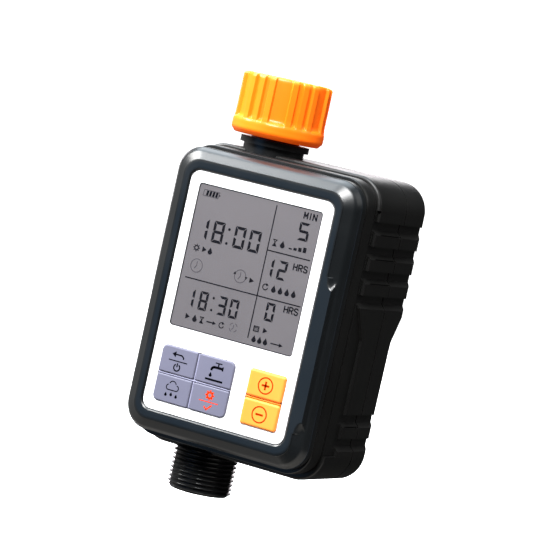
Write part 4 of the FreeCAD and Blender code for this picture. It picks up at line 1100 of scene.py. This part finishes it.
# each light: where it stands from the object in metres, its width and height, its brightness and tint
lights = {
    "topLight": ((-0.42, 0.02, 0.98), (1.35, 1.15), 5.8, (0.82, 0.92, 1.0)),
    "leftLight": ((-0.95, -0.45, 0.78), (0.60, 0.60), 33.0, (1.0, 0.99, 0.97)),
    "frontLight": ((0.15, -1.00, 1.05), (0.60, 0.60), 47.0, (1.0, 1.0, 1.0)),
    "frontCard": ((-0.69, -1.32, -0.10), (0.80, 0.80), 0.72, (0.24, 0.56, 1.0)),
    "backLeftCard": ((-0.85, 1.50, 0.20), (1.10, 0.60), 4.2, (1.0, 0.93, 0.96)),
    "floorCard": ((-0.34, 0.00, -0.25), (0.62, 0.90), 0.5, (1.0, 0.97, 0.93)),
    "cornerCard": ((0.12, -0.02, -0.26), (0.22, 0.40), 1.0, (1.0, 0.96, 0.90)),
    "rightFill": ((1.05, 0.35, 0.95), (1.10, 1.00), 1.8, (1.0, 1.0, 1.0)),
    "backFill": ((-0.75, 1.25, 0.95), (0.90, 0.80), 3.5, (1.0, 1.0, 1.0)),
}


def softLight(name, offset, size, brightness, colour):
    # a soft box turned to the object; its power is brightness times pi times its area
    data = bpy.data.lights.new(name, "AREA")
    data.shape, data.size, data.size_y = "RECTANGLE", size[0], size[1]
    data.energy, data.color = brightness * math.pi * size[0] * size[1], colour
    light = bpy.data.objects.new(name, data)
    light.location = target + Vector(offset)
    light.rotation_euler = (-Vector(offset)).to_track_quat("-Z", "Y").to_euler()
    light.visible_camera = False
    bpy.context.scene.collection.objects.link(light)


def makeWorld():
    # plain air: pale where it is looked at, and dim as a light
    world = bpy.data.worlds.new("studioAir")
    world.use_nodes = True
    tree = world.node_tree
    dim = tree.nodes["Background"]
    dim.inputs["Color"].default_value, dim.inputs["Strength"].default_value = (1, 1, 1, 1), 0.05
    pale = tree.nodes.new("ShaderNodeBackground")
    pale.inputs["Color"].default_value, pale.inputs["Strength"].default_value = (1, 1, 1, 1), 1.0
    path, mix = tree.nodes.new("ShaderNodeLightPath"), tree.nodes.new("ShaderNodeMixShader")
    tree.links.new(path.outputs["Is Camera Ray"], mix.inputs[0])
    tree.links.new(dim.outputs[0], mix.inputs[1])
    tree.links.new(pale.outputs[0], mix.inputs[2])
    tree.links.new(mix.outputs[0], tree.nodes["World Output"].inputs["Surface"])
    bpy.context.scene.world = world


target = makeCamera()
makeStage()
for name, values in lights.items():
    softLight(name, *values)
makeWorld()
print("stage, camera and", len(lights), "lights set")
bpy.context.scene.view_settings.view_transform = "Standard"
